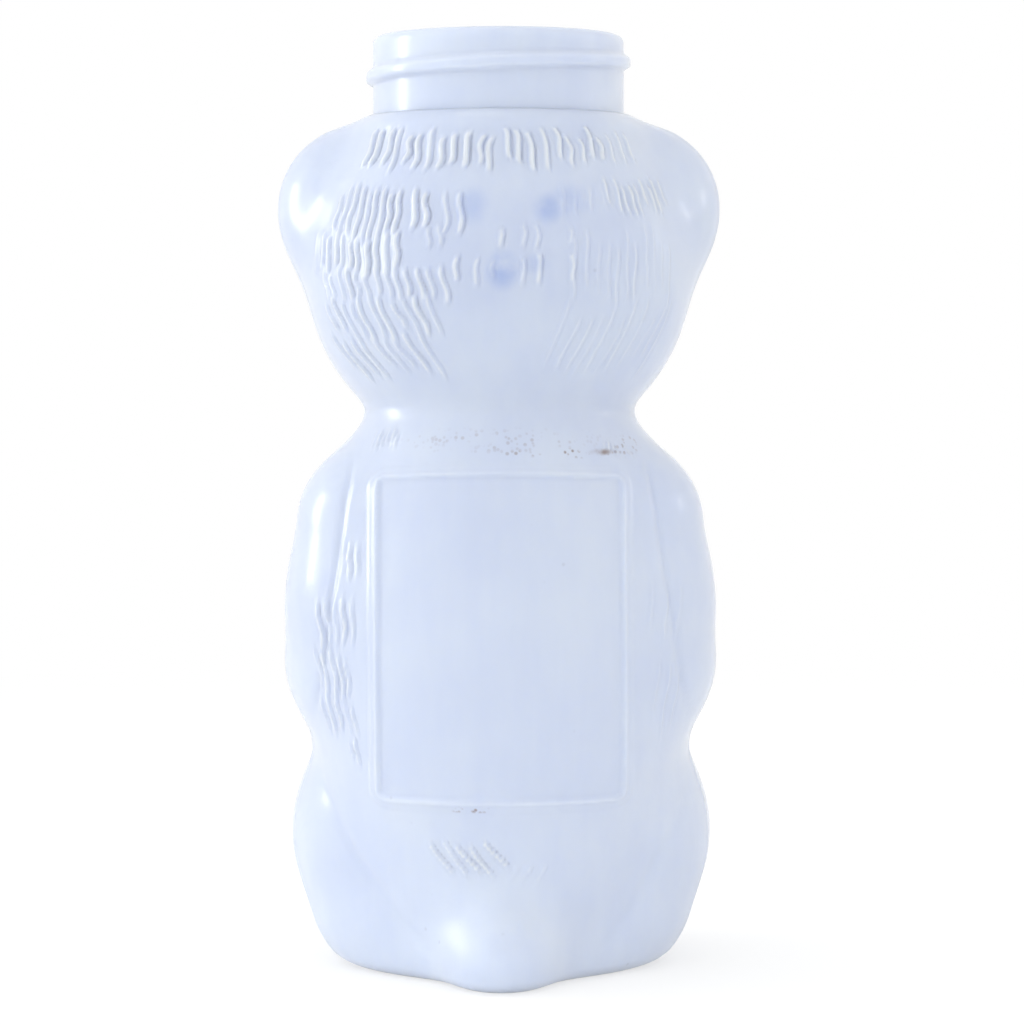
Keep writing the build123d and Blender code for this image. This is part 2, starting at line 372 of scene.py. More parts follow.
@dataclass(frozen=True)
class GridPlan:
    """How finely the skin is drawn: columns round the axis, and rows up it.

    Spacings are millimetres on a mean girth, angles are degrees from the back's middle, and
    row spacings are (height, spacing) in millimetres.
    """

    columns: int = 392
    back_spacing: float = 0.25
    side_spacing: float = 0.85
    front_spacing: float = 0.55
    seam_spacing: float = 0.17
    seam_half_angle: float = 1.6
    side_start: float = 74.0
    side_end: float = 116.0
    ease_angle: float = 8.0
    turn_samples: int = 7201
    height_samples: int = 6001
    edge_levels: int = 6
    row_spacings: tuple[tuple[float, float], ...] = (
        (0.0, 0.95),
        (13.2, 0.95),
        (14.4, 0.55),
        (21.0, 0.55),
        (22.0, 0.95),
        (22.4, 0.95),
        (23.4, 0.34),
        (26.0, 0.34),
        (27.2, 0.88),
        (68.6, 0.88),
        (69.8, 0.34),
        (72.6, 0.34),
        (73.8, 0.6),
        (80.0, 0.6),
        (82.5, 0.5),
        (110.0, 0.5),
        (116.0, 0.36),
        (120.4, 0.3),
    )

    def azimuths(self) -> np.ndarray:
        """Place the columns, alike on the left and the right.

        Returns:
            Angles from +X towards +Y.
        """
        turn = np.linspace(0, 180, self.turn_samples)
        side = (self.side_start - self.ease_angle, self.side_start, self.side_end)
        marks = (0, *side, self.side_end + self.ease_angle, 180)
        gaps = (self.back_spacing,) * 2 + (self.side_spacing,) * 2 + (self.front_spacing,) * 2
        spacing = np.interp(turn, marks, gaps)
        spacing = np.where(np.abs(turn - 90) < self.seam_half_angle, self.seam_spacing, spacing)
        passed = np.concatenate(((0,), np.cumsum((1 / spacing[1:] + 1 / spacing[:-1]) / 2)))
        half = self.columns // 2
        turns = np.interp(np.linspace(0, passed[-1], half + 1), passed, turn)
        right = (90 - turns[::-1]) * DEG
        return np.concatenate((right, math.pi - right[-2:0:-1]))

    def middle_heights(self, low: float, high: float) -> np.ndarray:
        """Heights of the rows between the rounded edges, by the spacings named above.

        Args:
            low: height where the lower rounded edge ends.
            high: height where the upper rounded edge starts.

        Returns:
            Heights strictly between the two.
        """
        marks = np.array([mark for mark, _ in self.row_spacings]) * MM
        gaps = np.array([gap for _, gap in self.row_spacings]) * MM
        height = np.linspace(low, high, self.height_samples)
        gap = np.interp(height, marks, gaps)
        passed = np.concatenate(((0,), np.cumsum(np.diff(height) * 2 / (gap[1:] + gap[:-1]))))
        count = math.ceil(passed[-1])
        return np.interp(np.linspace(0, passed[-1], count + 1)[1:-1], passed, height)


def rounded(gap: np.ndarray) -> np.ndarray:
    """Profile of a rounded ridge: 1 where the gap is 0, and 0 from a gap of 1."""
    return np.maximum(1 - gap**2, 0) ** 2


@dataclass(frozen=True)
class Stroke:
    """One raised stroke of fur.

    Sizes are millimetres, the angle from the side's middle is degrees, and the phase radians.
    A hand is 1 for the +X side and -1 for the other, and lean is how far the stroke's foot lies
    nearer to the middle than its top.
    """

    side: Side
    hand: int
    angle: float
    top: float
    bottom: float
    sway: float
    kink: float
    phase: float
    waves: float
    lean: float
    proud: float
    half_width: float

    def outward(self, azimuths: np.ndarray) -> np.ndarray:
        """Angles away from the stroke, positive further from the side's middle.

        Args:
            azimuths: angles of the columns.

        Returns:
            Angles in radians, one for each column.
        """
        turn = self.hand * self.angle * DEG
        offset = azimuths - (math.pi / 2 - turn) * self.side.value
        return np.arctan2(np.sin(offset), np.cos(offset)) * -self.hand * self.side.value

    def middle(self, share: np.ndarray) -> np.ndarray:
        """How far the wavy middle line runs outwards.

        Args:
            share: places along the stroke, 0 at its top and 1 at its foot.

        Returns:
            Distances in metres.
        """
        wave = 2 * math.pi * self.waves * share + self.phase
        swing = self.sway * np.sin(wave) + self.kink * np.sin(2 * wave)
        return (swing - self.lean * share) * MM


@dataclass(frozen=True)
class StrokeVariety:
    """How unlike the strokes of one row are, as shares of their sizes."""

    place_share: float = 0.2
    top_share: float = 0.26
    bottom_share: float = 0.28
    sway_shares: tuple[float, float] = (0.8, 1.2)
    kink_share: float = 0.2
    wave_shares: tuple[float, float] = (0.9, 1.12)
    proud_shares: tuple[float, float] = (0.6, 1.15)
    first_phase: float = 0.6
    phase_kept_share: float = 0.85
    phase_step: float = 0.28


@dataclass(frozen=True)
class FurRow:
    """A row of strokes that run down the bear's coat, on one side and for one or both hands.

    Heights and widths are millimetres, and angles are degrees from the side's middle.
    """

    side: Side
    top: float
    bottom: float
    first: float
    last: float
    spacing: float
    sway: float = 0.35
    waves: float = 1.0
    lean: float = 0.0
    proud: float = 0.26
    half_width: float = 0.5
    share_kept: float = 1.0
    hands: tuple[int, ...] = (-1, 1)
    variety: StrokeVariety = StrokeVariety()

    def strokes(self, rng: np.random.Generator, girth: float) -> list[Stroke]:
        """Place the row's strokes, each a little unlike its neighbours.

        Args:
            rng: seeded source of the small differences.
            girth: radius that turns the spacing into an angle.

        Returns:
            The strokes.
        """
        vary = self.variety
        step = self.spacing * MM / girth / DEG
        count = max(int((self.last - self.first) / step), 1)
        length = self.top - self.bottom
        found = []
        for hand in self.hands:
            phase = rng.uniform(-vary.first_phase, vary.first_phase)
            for number in range(count + 1):
                kept = rng.random() < self.share_kept
                moved = rng.uniform(-vary.place_share, vary.place_share)
                phase *= vary.phase_kept_share
                phase += rng.uniform(-vary.phase_step, vary.phase_step)
                stroke = Stroke(
                    side=self.side,
                    hand=hand,
                    angle=self.first + step * (number + moved),
                    top=self.top - rng.uniform(0, vary.top_share) * length,
                    bottom=self.bottom + rng.uniform(0, vary.bottom_share) * length,
                    sway=self.sway * rng.uniform(*vary.sway_shares),
                    kink=self.sway * rng.uniform(-vary.kink_share, vary.kink_share),
                    phase=phase,
                    waves=self.waves * rng.uniform(*vary.wave_shares),
                    proud=self.proud * rng.uniform(*vary.proud_shares),
                    lean=self.lean,
                    half_width=self.half_width,
                )
                if kept:
                    found.append(stroke)
        return found


@dataclass(frozen=True)
class FurCoat:
    """The strokes of fur moulded into the skin, each with a groove on its -X side.

    A row gives its side, top, bottom, first and last angle, spacing, sway, waves, lean, how
    proud it stands and its half width. Sizes are millimetres.
    """

    rows: tuple[FurRow, ...] = (
        FurRow(Side.BACK, 118.4, 111.2, 1, 57, 2.1, 0.36, 0.95, -1.3, 0.44, 0.56),
        FurRow(Side.BACK, 111.2, 100.5, 36, 66, 1.4, 0.17, 1.6, proud=0.38, hands=(1,)),
        FurRow(Side.BACK, 110.8, 101.5, 13, 35, 2.5, 0.3, 1.2, proud=0.36, hands=(1,)),
        FurRow(Side.BACK, 104.5, 96.5, 36, 71, 1.45, 0.2, 1.2, proud=0.36, hands=(1,)),
        FurRow(Side.BACK, 99.5, 93.0, 20, 66, 1.6, 0.26, 1.0, 0.5, 0.32, hands=(1,)),
        FurRow(Side.BACK, 96.0, 88.0, 26, 70, 1.7, 0.26, 1.0, 1.6, 0.32, hands=(1,)),
        FurRow(Side.BACK, 91.0, 82.5, 30, 70, 2.0, 0.2, 0.9, 2.6, 0.3, hands=(1,)),
        FurRow(Side.BACK, 105.0, 100.2, 1, 26, 2.5, 0.25, 0.9, -0.3, 0.28, share_kept=0.6),
        FurRow(Side.BACK, 101.0, 95.6, 3, 26, 2.2, 0.25, 0.9, -0.4, 0.34, share_kept=0.75),
        FurRow(Side.BACK, 111.4, 105.4, 40, 66, 1.35, 0.18, 1.1, -0.6, 0.36, 0.44, hands=(-1,)),
        FurRow(Side.BACK, 110.0, 105.0, 22, 38, 2.2, 0.2, 1.0, -0.3, 0.2, hands=(-1,)),
        FurRow(Side.BACK, 105.6, 92.0, 26, 66, 1.55, 0.16, 1.4, 0.2, 0.19, 0.44, hands=(-1,)),
        FurRow(Side.BACK, 95.5, 82.6, 24, 66, 1.75, 0.16, 1.1, 2.6, 0.16, 0.44, hands=(-1,)),
        FurRow(Side.BACK, 76.6, 73.4, 45, 57, 1.0, 0.12, 0.8, 0.2, 0.2, 0.34, hands=(1,)),
        FurRow(Side.BACK, 75.2, 72.4, 43, 52, 1.2, 0.1, 0.8, -2.0, 0.24, 0.36, hands=(-1,)),
        FurRow(Side.BACK, 61.5, 55.5, 50, 57, 1.2, 0.22, 1.0, 0.3, 0.26, 0.4, hands=(1,)),
        FurRow(Side.BACK, 54.0, 44.5, 50, 63, 1.35, 0.26, 1.2, 0.0, 0.3, 0.42, hands=(1,)),
        FurRow(Side.BACK, 47.0, 37.5, 53, 67, 1.35, 0.26, 1.2, 0.3, 0.3, 0.42, hands=(1,)),
        FurRow(Side.BACK, 40.5, 33.5, 52, 68, 1.5, 0.26, 1.0, 0.4, 0.28, 0.42, hands=(1,)),
        FurRow(Side.BACK, 34.0, 29.8, 52, 57, 1.4, 0.2, 0.9, 0.2, 0.24, 0.42, hands=(1,)),
        FurRow(Side.BACK, 56.0, 45.0, 52, 63, 1.9, 0.24, 1.2, 0.2, 0.15, 0.42, hands=(-1,)),
        FurRow(Side.BACK, 46.0, 33.0, 54, 66, 1.9, 0.24, 1.2, 0.3, 0.15, 0.42, hands=(-1,)),
        FurRow(Side.BACK, 21.4, 14.6, 7, 32, 2.1, 0.18, 0.8, 3.4, 0.36, hands=(1,)),
        FurRow(Side.BACK, 17.6, 14.2, 5, 18, 2.4, 0.14, 0.8, 1.2, 0.18, hands=(-1,)),
        FurRow(Side.FRONT, 118.2, 110.4, 1.5, 58, 2.4, 0.7, 0.95, proud=0.34),
        FurRow(Side.FRONT, 110.2, 101.5, 40, 62, 1.9, 0.3, 1.4),
        FurRow(Side.FRONT, 102.5, 93.0, 44, 70, 2.1, 0.3, 1.3, 0.8),
        FurRow(Side.FRONT, 94.0, 84.5, 36, 66, 2.4, 0.28, 1.1, 2.2),
        FurRow(Side.FRONT, 74.5, 67.5, 2, 26, 2.3, 0.4, 1.0, 1.0),
    )
    girth: float = 24.0
    groove_offset: float = 0.52
    groove_half_width: float = 0.4
    groove_share: float = 0.5
    clear_height: float = 0.12
    top_fade_share: float = 0.14
    foot_fade_share: float = 0.2
    seed: int = 7

    def height(self, skin: SkinGrid) -> np.ndarray:
        """How far the strokes stand off the skin.

        Args:
            skin: the smooth skin's grid.

        Returns:
            Heights in metres, rows by columns, negative in the grooves.
        """
        rng = np.random.default_rng(self.seed)
        levels = skin.z[:, 0]
        radius = np.hypot(skin.x, skin.y)
        ridges = np.zeros(radius.shape)
        grooves = np.zeros(radius.shape)
        strokes = (stroke for row in self.rows for stroke in row.strokes(rng, self.girth * MM))
        for stroke in strokes:
            top, bottom = stroke.top * MM, stroke.bottom * MM
            chosen = np.flatnonzero((levels > bottom) & (levels < top))
            if not len(chosen):
                continue
            share = (top - levels[chosen]) / (top - bottom)
            ends = smooth_step(0, self.top_fade_share, share)
            ends = ends * smooth_step(0, self.foot_fade_share, 1 - share)
            away = radius[chosen] * stroke.outward(skin.azimuths) - stroke.middle(share)[:, None]
            ridge = rounded(away / (stroke.half_width * MM))
            raised = stroke.proud * MM * ridge * ends[:, None]
            ridges[chosen] = np.maximum(ridges[chosen], raised)
            away = away + stroke.hand * self.groove_offset * MM
            groove = rounded(away / (self.groove_half_width * MM))
            sunk = stroke.proud * self.groove_share * MM * groove * ends[:, None]
            grooves[chosen] = np.maximum(grooves[chosen], sunk)
        return ridges - grooves * (1 - smooth_step(0, self.clear_height * MM, ridges))


@dataclass(frozen=True)
class LabelFrame:
    """The raised bead round the bare label panel on the back, in millimetres."""

    half_width: float = 18.2
    low_share: float = 0.2035
    high_share: float = 0.5972
    corner_radius: float = 2.6
    bead_width: float = 1.7
    band_proud: float = 0.14
    ridge_inset: float = 1.28
    ridge_half_width: float = 0.38
    ridge_proud: float = 0.34
    rim_inset: float = 0.25
    rim_half_width: float = 0.28
    rim_proud: float = 0.09
    band_fade: float = 0.5
    top_bow: float = 0.8

    def edge_distance(self, skin: SkinGrid) -> np.ndarray:
        """Distance to the frame's outer edge as seen from behind.

        Args:
            skin: the points to measure from.

        Returns:
            Distances in metres, negative inside the frame.
        """
        low, high = self.low_share * SHOULDER_HEIGHT, self.high_share * SHOULDER_HEIGHT
        half_width, radius = self.half_width * MM, self.corner_radius * MM
        sag = self.top_bow * MM * (skin.x / half_width) ** 2 * smooth_step(low, high, skin.z)
        across = np.abs(skin.x) - half_width + radius
        up = np.abs(skin.z + sag - (low + high) / 2) - (high - low) / 2 + radius
        outside = np.hypot(np.maximum(across, 0), np.maximum(up, 0))
        return outside + np.minimum(np.maximum(across, up), 0) - radius

    def height(self, skin: SkinGrid) -> np.ndarray:
        """How far the bead stands off the skin: a low band with a ridge and a rim.

        Args:
            skin: the smooth skin's grid.

        Returns:
            Heights in metres, rows by columns.
        """
        inset = -self.edge_distance(skin) / MM
        from_middle = np.abs(inset - self.bead_width / 2)
        edge = self.bead_width / 2
        band = 1 - smooth_step(edge - self.band_fade, edge, from_middle)
        ridge = np.exp(-(((inset - self.ridge_inset) / self.ridge_half_width) ** 2))
        rim = np.exp(-(((inset - self.rim_inset) / self.rim_half_width) ** 2))
        proud = band * self.band_proud + ridge * self.ridge_proud + rim * self.rim_proud
        return np.where(skin.y > 0, proud * MM, 0)


@dataclass(frozen=True)
class FoldLine:
    """A fine valley along a curve on the bear's back, where two swellings meet.

    The curve's points are (across, up) in millimetres, from its top to its foot. Across is
    away from the middle, towards +X for hand 1 and -X for hand -1.
    """

    path: tuple[tuple[float, float], ...]
    depth: float
    half_width: float
    hands: tuple[int, ...] = (-1, 1)
    fade_share: float = 0.16

    def height(self, skin: SkinGrid) -> np.ndarray:
        """How far the valley lies under the skin.

        Args:
            skin: the smooth skin's grid.

        Returns:
            Negative heights in metres, rows by columns.
        """
        ups = np.array([up for _, up in self.path])
        acrosses = np.array([across for across, _ in self.path])
        level = skin.z[:, 0] / MM
        middle = np.interp(-level, -ups, acrosses)
        slope = np.gradient(middle, level)
        share = np.clip((ups[0] - level) / (ups[0] - ups[-1]), 0, 1)
        ends = smooth_step(0, self.fade_share, share) * smooth_step(0, self.fade_share, 1 - share)
        valley = np.zeros(skin.x.shape)
        for hand in self.hands:
            gap = (skin.x / MM * hand - middle[:, None]) / np.sqrt(1 + slope[:, None] ** 2)
            valley = np.maximum(valley, np.exp(-((gap / self.half_width) ** 2)))
        return np.where(skin.y > 0, -valley * ends[:, None] * self.depth, 0) * MM


@dataclass(frozen=True)
class Creases:
    """The folds at the ears, the arms and the legs."""

    ear: FoldLine = FoldLine(((21.3, 111.0), (22.6, 107.5), (24.6, 103.0)), 0.16, 0.9)
    arm: FoldLine = FoldLine(
        ((20.0, 74.0), (21.4, 66.7), (22.6, 58.0), (23.4, 53.5), (25.1, 41.5), (26.8, 34.0)),
        depth=0.30,
        half_width=0.5,
    )
    left_leg: FoldLine = FoldLine(
        ((26.5, 30.1), (22.7, 21.7), (20.1, 16.8), (14.9, 10.3), (9.4, 4.3), (8.2, 2.6)),
        depth=0.26,
        half_width=0.75,
        hands=(1,),
    )
    right_leg: FoldLine = FoldLine(
        ((27.1, 27.8), (25.0, 22.0), (21.0, 14.5), (16.6, 7.5), (13.1, 2.6)),
        depth=0.22,
        half_width=0.9,
        hands=(-1,),
    )

    def height(self, skin: SkinGrid) -> np.ndarray:
        """How far the folds lie under the skin, as negative heights in metres."""
        folds = (self.ear, self.arm, self.left_leg, self.right_leg)
        return sum(fold.height(skin) for fold in folds)


@dataclass(frozen=True)
class Face:
    """Eyes, nose and mouth on the front, and the dishes of the ears, in millimetres."""

    eye_spread: float = 9.0
    eye_share: float = 0.889
    eye_radius: float = 2.2
    eye_proud: float = 0.9
    nose_share: float = 0.8255
    nose_half_width: float = 3.6
    nose_half_height: float = 2.3
    nose_proud: float = 1.1
    mouth_depth: float = 0.45
    mouth_half_width: float = 5.2
    mouth_line: float = 0.55
    smile_drop: float = 2.8
    smile_sag: float = 0.9
    smile_lift: float = 1.2
    smile_end_shares: tuple[float, float] = (0.8, 1.15)
    cleft_foot: tuple[float, float] = (3.2, 2.6)
    cleft_top: float = 1.0
    dish_depth: float = 0.5
    dish_share: float = 0.895
    dish_spread: float = 23.2
    dish_half_width: float = 5.6
    dish_half_height: float = 6.6
    dish_edge_shares: tuple[float, float] = (0.55, 1.1)

    def height(self, skin: SkinGrid) -> np.ndarray:
        """How far the face's details stand off the skin.

        Args:
            skin: the smooth skin's grid.

        Returns:
            Heights in metres, negative where a detail is sunk.
        """
        x, z = np.abs(skin.x) / MM, skin.z / MM
        top = SHOULDER_HEIGHT / MM
        eye = np.hypot(x - self.eye_spread, z - self.eye_share * top)
        sunk = self.eye_radius - self.eye_proud
        eye = np.sqrt(np.maximum(self.eye_radius**2 - eye**2, 0)) - sunk
        nose = np.hypot(x / self.nose_half_width, (z - self.nose_share * top) / self.nose_half_height)
        nose = self.nose_proud * np.sqrt(np.maximum(1 - nose**2, 0))
        bottom = self.nose_share * top - self.nose_half_height
        along = x / self.mouth_half_width
        smile = bottom - self.smile_drop - self.smile_sag * np.sin(np.clip(along, 0, 1) * math.pi)
        smile = smile + self.smile_lift * np.clip(along, 0, 1) ** 3
        near_smile = np.abs(z - smile) / self.mouth_line
        mouth = np.exp(-(near_smile**2)) * (1 - smooth_step(*self.smile_end_shares, along))
        cleft_low, cleft_high = self.cleft_foot
        cleft = smooth_step(bottom - cleft_low, bottom - cleft_high, z)
        cleft = cleft * (1 - smooth_step(bottom, bottom + self.cleft_top, z))
        mouth = np.maximum(mouth, np.exp(-((x / self.mouth_line) ** 2)) * cleft)
        dish = np.hypot(
            (x - self.dish_spread) / self.dish_half_width,
            (z - self.dish_share * top) / self.dish_half_height,
        )
        dish = 1 - smooth_step(*self.dish_edge_shares, dish)
        raised = np.maximum(np.maximum(eye, nose), 0) - mouth * self.mouth_depth
        return np.where(skin.y < 0, raised - dish * self.dish_depth, 0) * MM


@dataclass(frozen=True)
class Paws:
    """Toe lines on the forepaws and pads on the soles of the feet, in millimetres."""

    paw_share: float = 0.4153
    paw_inner: float = 4.2
    paw_outer: float = 8.8
    line_gap: float = 2.5
    line_half_width: float = 0.42
    line_depth: float = 0.5
    line_slope: float = 0.12
    line_inner_fade: tuple[float, float] = (0.8, 0.6)
    line_outer_fade: float = 1.6
    foot_spread: float = 13.4
    pad_height: float = 7.0
    pad_half_sizes: tuple[float, float] = (4.3, 3.5)
    toe_radius: float = 1.45
    toe_angles: tuple[float, ...] = (28.0, 68.0, 112.0, 152.0)
    toe_reach: tuple[float, float] = (6.4, 7.6)
    pad_edge_shares: tuple[float, float] = (0.75, 1.1)
    toe_edge_shares: tuple[float, float] = (0.6, 1.15)
    pad_proud: float = 0.45
    sole_front: float = 15.0

    def height(self, skin: SkinGrid) -> np.ndarray:
        """How far the paws' details stand off the skin.

        Args:
            skin: the smooth skin's grid.

        Returns:
            Heights in metres, negative where a detail is sunk.
        """
        x, z = np.abs(skin.x) / MM, skin.z / MM
        middle = self.paw_share * SHOULDER_HEIGHT / MM
        lines = np.zeros(x.shape)
        for number in (-1, 0, 1):
            slope = self.line_slope * number * (x - self.paw_inner)
            gap = z - middle - number * self.line_gap - slope
            lines = np.maximum(lines, np.exp(-((gap / self.line_half_width) ** 2)))
        before, after = self.line_inner_fade
        lines = lines * smooth_step(self.paw_inner - before, self.paw_inner + after, x)
        lines = lines * (1 - smooth_step(self.paw_outer - self.line_outer_fade, self.paw_outer, x))
        raised = -self.line_depth * lines
        pad = np.hypot(
            (x - self.foot_spread) / self.pad_half_sizes[0],
            (z - self.pad_height) / self.pad_half_sizes[1],
        )
        pads = 1 - smooth_step(*self.pad_edge_shares, pad)
        for angle in self.toe_angles:
            toe_x = self.foot_spread + self.toe_reach[0] * math.cos(angle * DEG)
            toe_z = self.pad_height + self.toe_reach[1] * math.sin(angle * DEG)
            toe = np.hypot(x - toe_x, z - toe_z) / self.toe_radius
            pads = np.maximum(pads, 1 - smooth_step(*self.toe_edge_shares, toe))
        raised = raised + np.where(skin.y < -self.sole_front * MM, pads, 0) * self.pad_proud
        return np.where(skin.y < 0, raised, 0) * MM


@dataclass(frozen=True)
class MouldSeam:
    """The fine raised line where the two halves of the mould met, in millimetres."""

    half_width: float = 0.2
    proud: float = 0.11

    def height(self, skin: SkinGrid) -> np.ndarray:
        """How far the seam stands off the skin, in metres."""
        return np.exp(-((skin.y / (self.half_width * MM)) ** 2)) * self.proud * MM


@dataclass(frozen=True)
class Neck:
    """The threaded neck, in millimetres. The thread is right-handed and makes one turn.

    A parting tick is (angle from +X, low, high), with heights above the shoulder.
    """

    radius: float = 17.7
    bore_radius: float = 15.5
    rim_radius: float = 1.2
    rim_bore_radius: float = 0.4
    groove: float = 0.22
    thread_depth: float = 0.95
    lower_flank: float = 0.65
    upper_flank: float = 1.0
    crest_half_width: float = 0.5
    pitch: float = 4.23
    start_rise: float = 4.1
    start_angle: float = -100.0
    fade_share: float = 0.08
    parting_ticks: tuple[tuple[float, float, float], ...] = ((100.7, 8.2, 10.9), (70.6, 8.9, 10.2))
    tick_proud: float = 0.09
    tick_half_width: float = 0.32
    foot_flare: float = 0.12
    first_row: float = 0.15
    smooth_foot: float = 0.3
    bore_row_shares: tuple[float, ...] = (0.3, 0.6, 0.85)
    row_gap: float = 0.32
    corner_levels: int = 5
    bore_corner_levels: int = 2

    def thread(self, azimuths: np.ndarray, rise: float) -> np.ndarray:
        """How far the thread stands off the neck.

        Args:
            azimuths: angles from +X towards +Y.
            rise: height above the shoulder, in millimetres.

        Returns:
            Heights in millimetres, one for each azimuth.
        """
        share = np.mod(azimuths / DEG - self.start_angle, 360) / 360
        depth = np.zeros(azimuths.shape)
        for turn in (-1, 0, 1):
            along = share + turn
            gap = rise - self.start_rise - self.pitch * along
            flank = np.where(gap > 0, self.upper_flank, self.lower_flank)
            edge = np.abs(gap) - self.crest_half_width
            profile = 1 - smooth_step(0, 1, edge / flank)
            ends = np.clip(np.minimum(along, 1 - along) / self.fade_share, 0, 1)
            depth = np.maximum(depth, profile * ends)
        return depth * self.thread_depth

    def ticks(self, azimuths: np.ndarray, rise: float) -> np.ndarray:
        """How far the mould's short parting lines stand off the neck.

        Args:
            azimuths: angles from +X towards +Y.
            rise: height above the shoulder, in millimetres.

        Returns:
            Heights in millimetres, one for each azimuth.
        """
        proud = np.zeros(azimuths.shape)
        for angle, low, high in self.parting_ticks:
            if low < rise < high:
                gap = (azimuths / DEG - angle) * DEG * self.radius / self.tick_half_width
                proud = np.maximum(proud, np.maximum(1 - np.abs(gap), 0) * self.tick_proud)
        return proud

    def rings(self, azimuths: np.ndarray) -> list[np.ndarray]:
        """Rings from the shoulder up, over the rim and down to the bore's foot.

        Args:
            azimuths: angles from +X towards +Y.

        Returns:
            Rings of points in metres.
        """
        high = RIM_HEIGHT / MM
        low = SHOULDER_HEIGHT / MM
        foot = low - self.groove
        ways = [(self.radius + self.foot_flare, foot), (self.radius, foot)]
        ways += [(self.radius, low), (self.radius, low + self.first_row)]
        top = high - self.rim_radius
        count = math.ceil((top - low) / self.row_gap)
        ways += [(self.radius, low + (top - low) * k / count) for k in range(1, count + 1)]
        for k in range(1, self.corner_levels + 1):
            turn = 90 * DEG * k / self.corner_levels
            inward = self.radius - self.rim_radius * (1 - math.cos(turn))
            ways.append((inward, top + self.rim_radius * math.sin(turn)))
        for k in range(self.bore_corner_levels + 1):
            turn = 90 * DEG * k / self.bore_corner_levels
            outward = self.bore_radius + self.rim_bore_radius * (1 - math.sin(turn))
            ways.append((outward, high - self.rim_bore_radius * (1 - math.cos(turn))))
        bore_foot = low - WALL / MM
        for share in self.bore_row_shares:
            ways.append((self.bore_radius, high - (high - bore_foot) * share))
        rings = []
        for radius, height in ways:
            reach = np.full(azimuths.shape, radius)
            if low + self.smooth_foot < height < top and radius == self.radius:
                rise = height - low
                reach = reach + self.thread(azimuths, rise) + self.ticks(azimuths, rise)
            rings.append(ring_points(azimuths, reach * MM, height * MM))
        return rings


def ring_points(azimuths: np.ndarray, radii: np.ndarray, height: float) -> np.ndarray:
    """Points of one level ring.

    Args:
        azimuths: angles from +X towards +Y.
        radii: distance from the axis, one for each azimuth.
        height: the ring's Z.

    Returns:
        Points as an array of n by 3.
    """
    level = np.full(azimuths.shape, height)
    return np.stack((radii * np.cos(azimuths), radii * np.sin(azimuths), level), axis=1)


@dataclass
class RingShell:
    """A closed shell, built ring after ring from one pole to the other."""

    points: list[np.ndarray] = field(default_factory=list)
    faces: list[tuple[int, ...]] = field(default_factory=list)
    total: int = 0
    last_start: int = 0
    last_count: int = 0

    def pole(self, point: tuple[float, float, float]) -> None:
        """Start or end the shell at a point, with a fan of triangles.

        Args:
            point: the pole.
        """
        number = self.total
        if self.last_count:
            start, count = self.last_start, self.last_count
            self.faces += [(start + k, start + (k + 1) % count, number) for k in range(count)]
        self.points.append(np.array([point]))
        self.last_start, self.last_count = number, 1
        self.total += 1

    def ring(self, points: np.ndarray) -> None:
        """Add a ring of as many points as the last, or half or twice as many.

        Args:
            points: the ring's points, n by 3.
        """
        below, old = self.last_start, self.last_count
        above, new = self.total, len(points)
        if old == 1:
            self.faces += [(below, above + (k + 1) % new, above + k) for k in range(new)]
        elif old == new:
            self.faces += [
                (below + k, below + (k + 1) % new, above + (k + 1) % new, above + k)
                for k in range(new)
            ]
        elif old == 2 * new:
            self.faces += [
                (
                    below + 2 * k,
                    below + 2 * k + 1,
                    below + (2 * k + 2) % old,
                    above + (k + 1) % new,
                    above + k,
                )
                for k in range(new)
            ]
        elif new == 2 * old:
            self.faces += [
                (
                    below + k,
                    below + (k + 1) % old,
                    above + (2 * k + 2) % new,
                    above + 2 * k + 1,
                    above + 2 * k,
                )
                for k in range(old)
            ]
        else:
            raise ValueError(f"a ring of {new} points can't follow one of {old}")
        self.points.append(points)
        self.last_start, self.last_count = above, new
        self.total += new

    def circle(self, azimuths: np.ndarray, radius: float, height: float) -> None:
        """Add a level circle.

        Args:
            azimuths: angles of its points.
            radius: its radius in metres.
            height: its height in metres.
        """
        self.ring(ring_points(azimuths, np.full(azimuths.shape, radius), height))

    def mesh(self, name: str) -> bpy.types.Mesh:
        """Turn the shell into a smooth-shaded mesh.

        Args:
            name: the mesh's name.

        Returns:
            The new mesh.
        """
        mesh = bpy.data.meshes.new(name)
        mesh.from_pydata(np.concatenate(self.points).tolist(), [], self.faces)
        mesh.update()
        mesh.shade_smooth()
        return mesh


@dataclass(frozen=True)
class Base:
    """The flat ring that the bottle stands on and the push-up inside it, in millimetres."""

    pushup_radius: float = 10.5
    pushup_depth: float = 2.6
    edge_radius: float = 2.0
    lip: float = 0.15
    dome_levels: int = 7
    flat_levels: int = 3

    @property
    def sphere(self) -> float:
        """Radius of the sphere that the push-up is part of."""
        return (self.pushup_radius**2 + self.pushup_depth**2) / (2 * self.pushup_depth)

    def dome_height(self, radius: float, thickness: float) -> float:
        """Height of the push-up over the table.

        Args:
            radius: distance from the axis.
            thickness: 0 for its underside, or the wall for its upper side.

        Returns:
            The height in millimetres.
        """
        reach = self.sphere + thickness
        return self.pushup_depth - self.sphere + math.sqrt(reach**2 - radius**2)

    def dome_foot(self, thickness: float) -> float:
        """Distance from the axis at which the push-up's upper side meets the floor."""
        rise = thickness - self.pushup_depth + self.sphere
        return math.sqrt((self.sphere + thickness) ** 2 - rise**2)


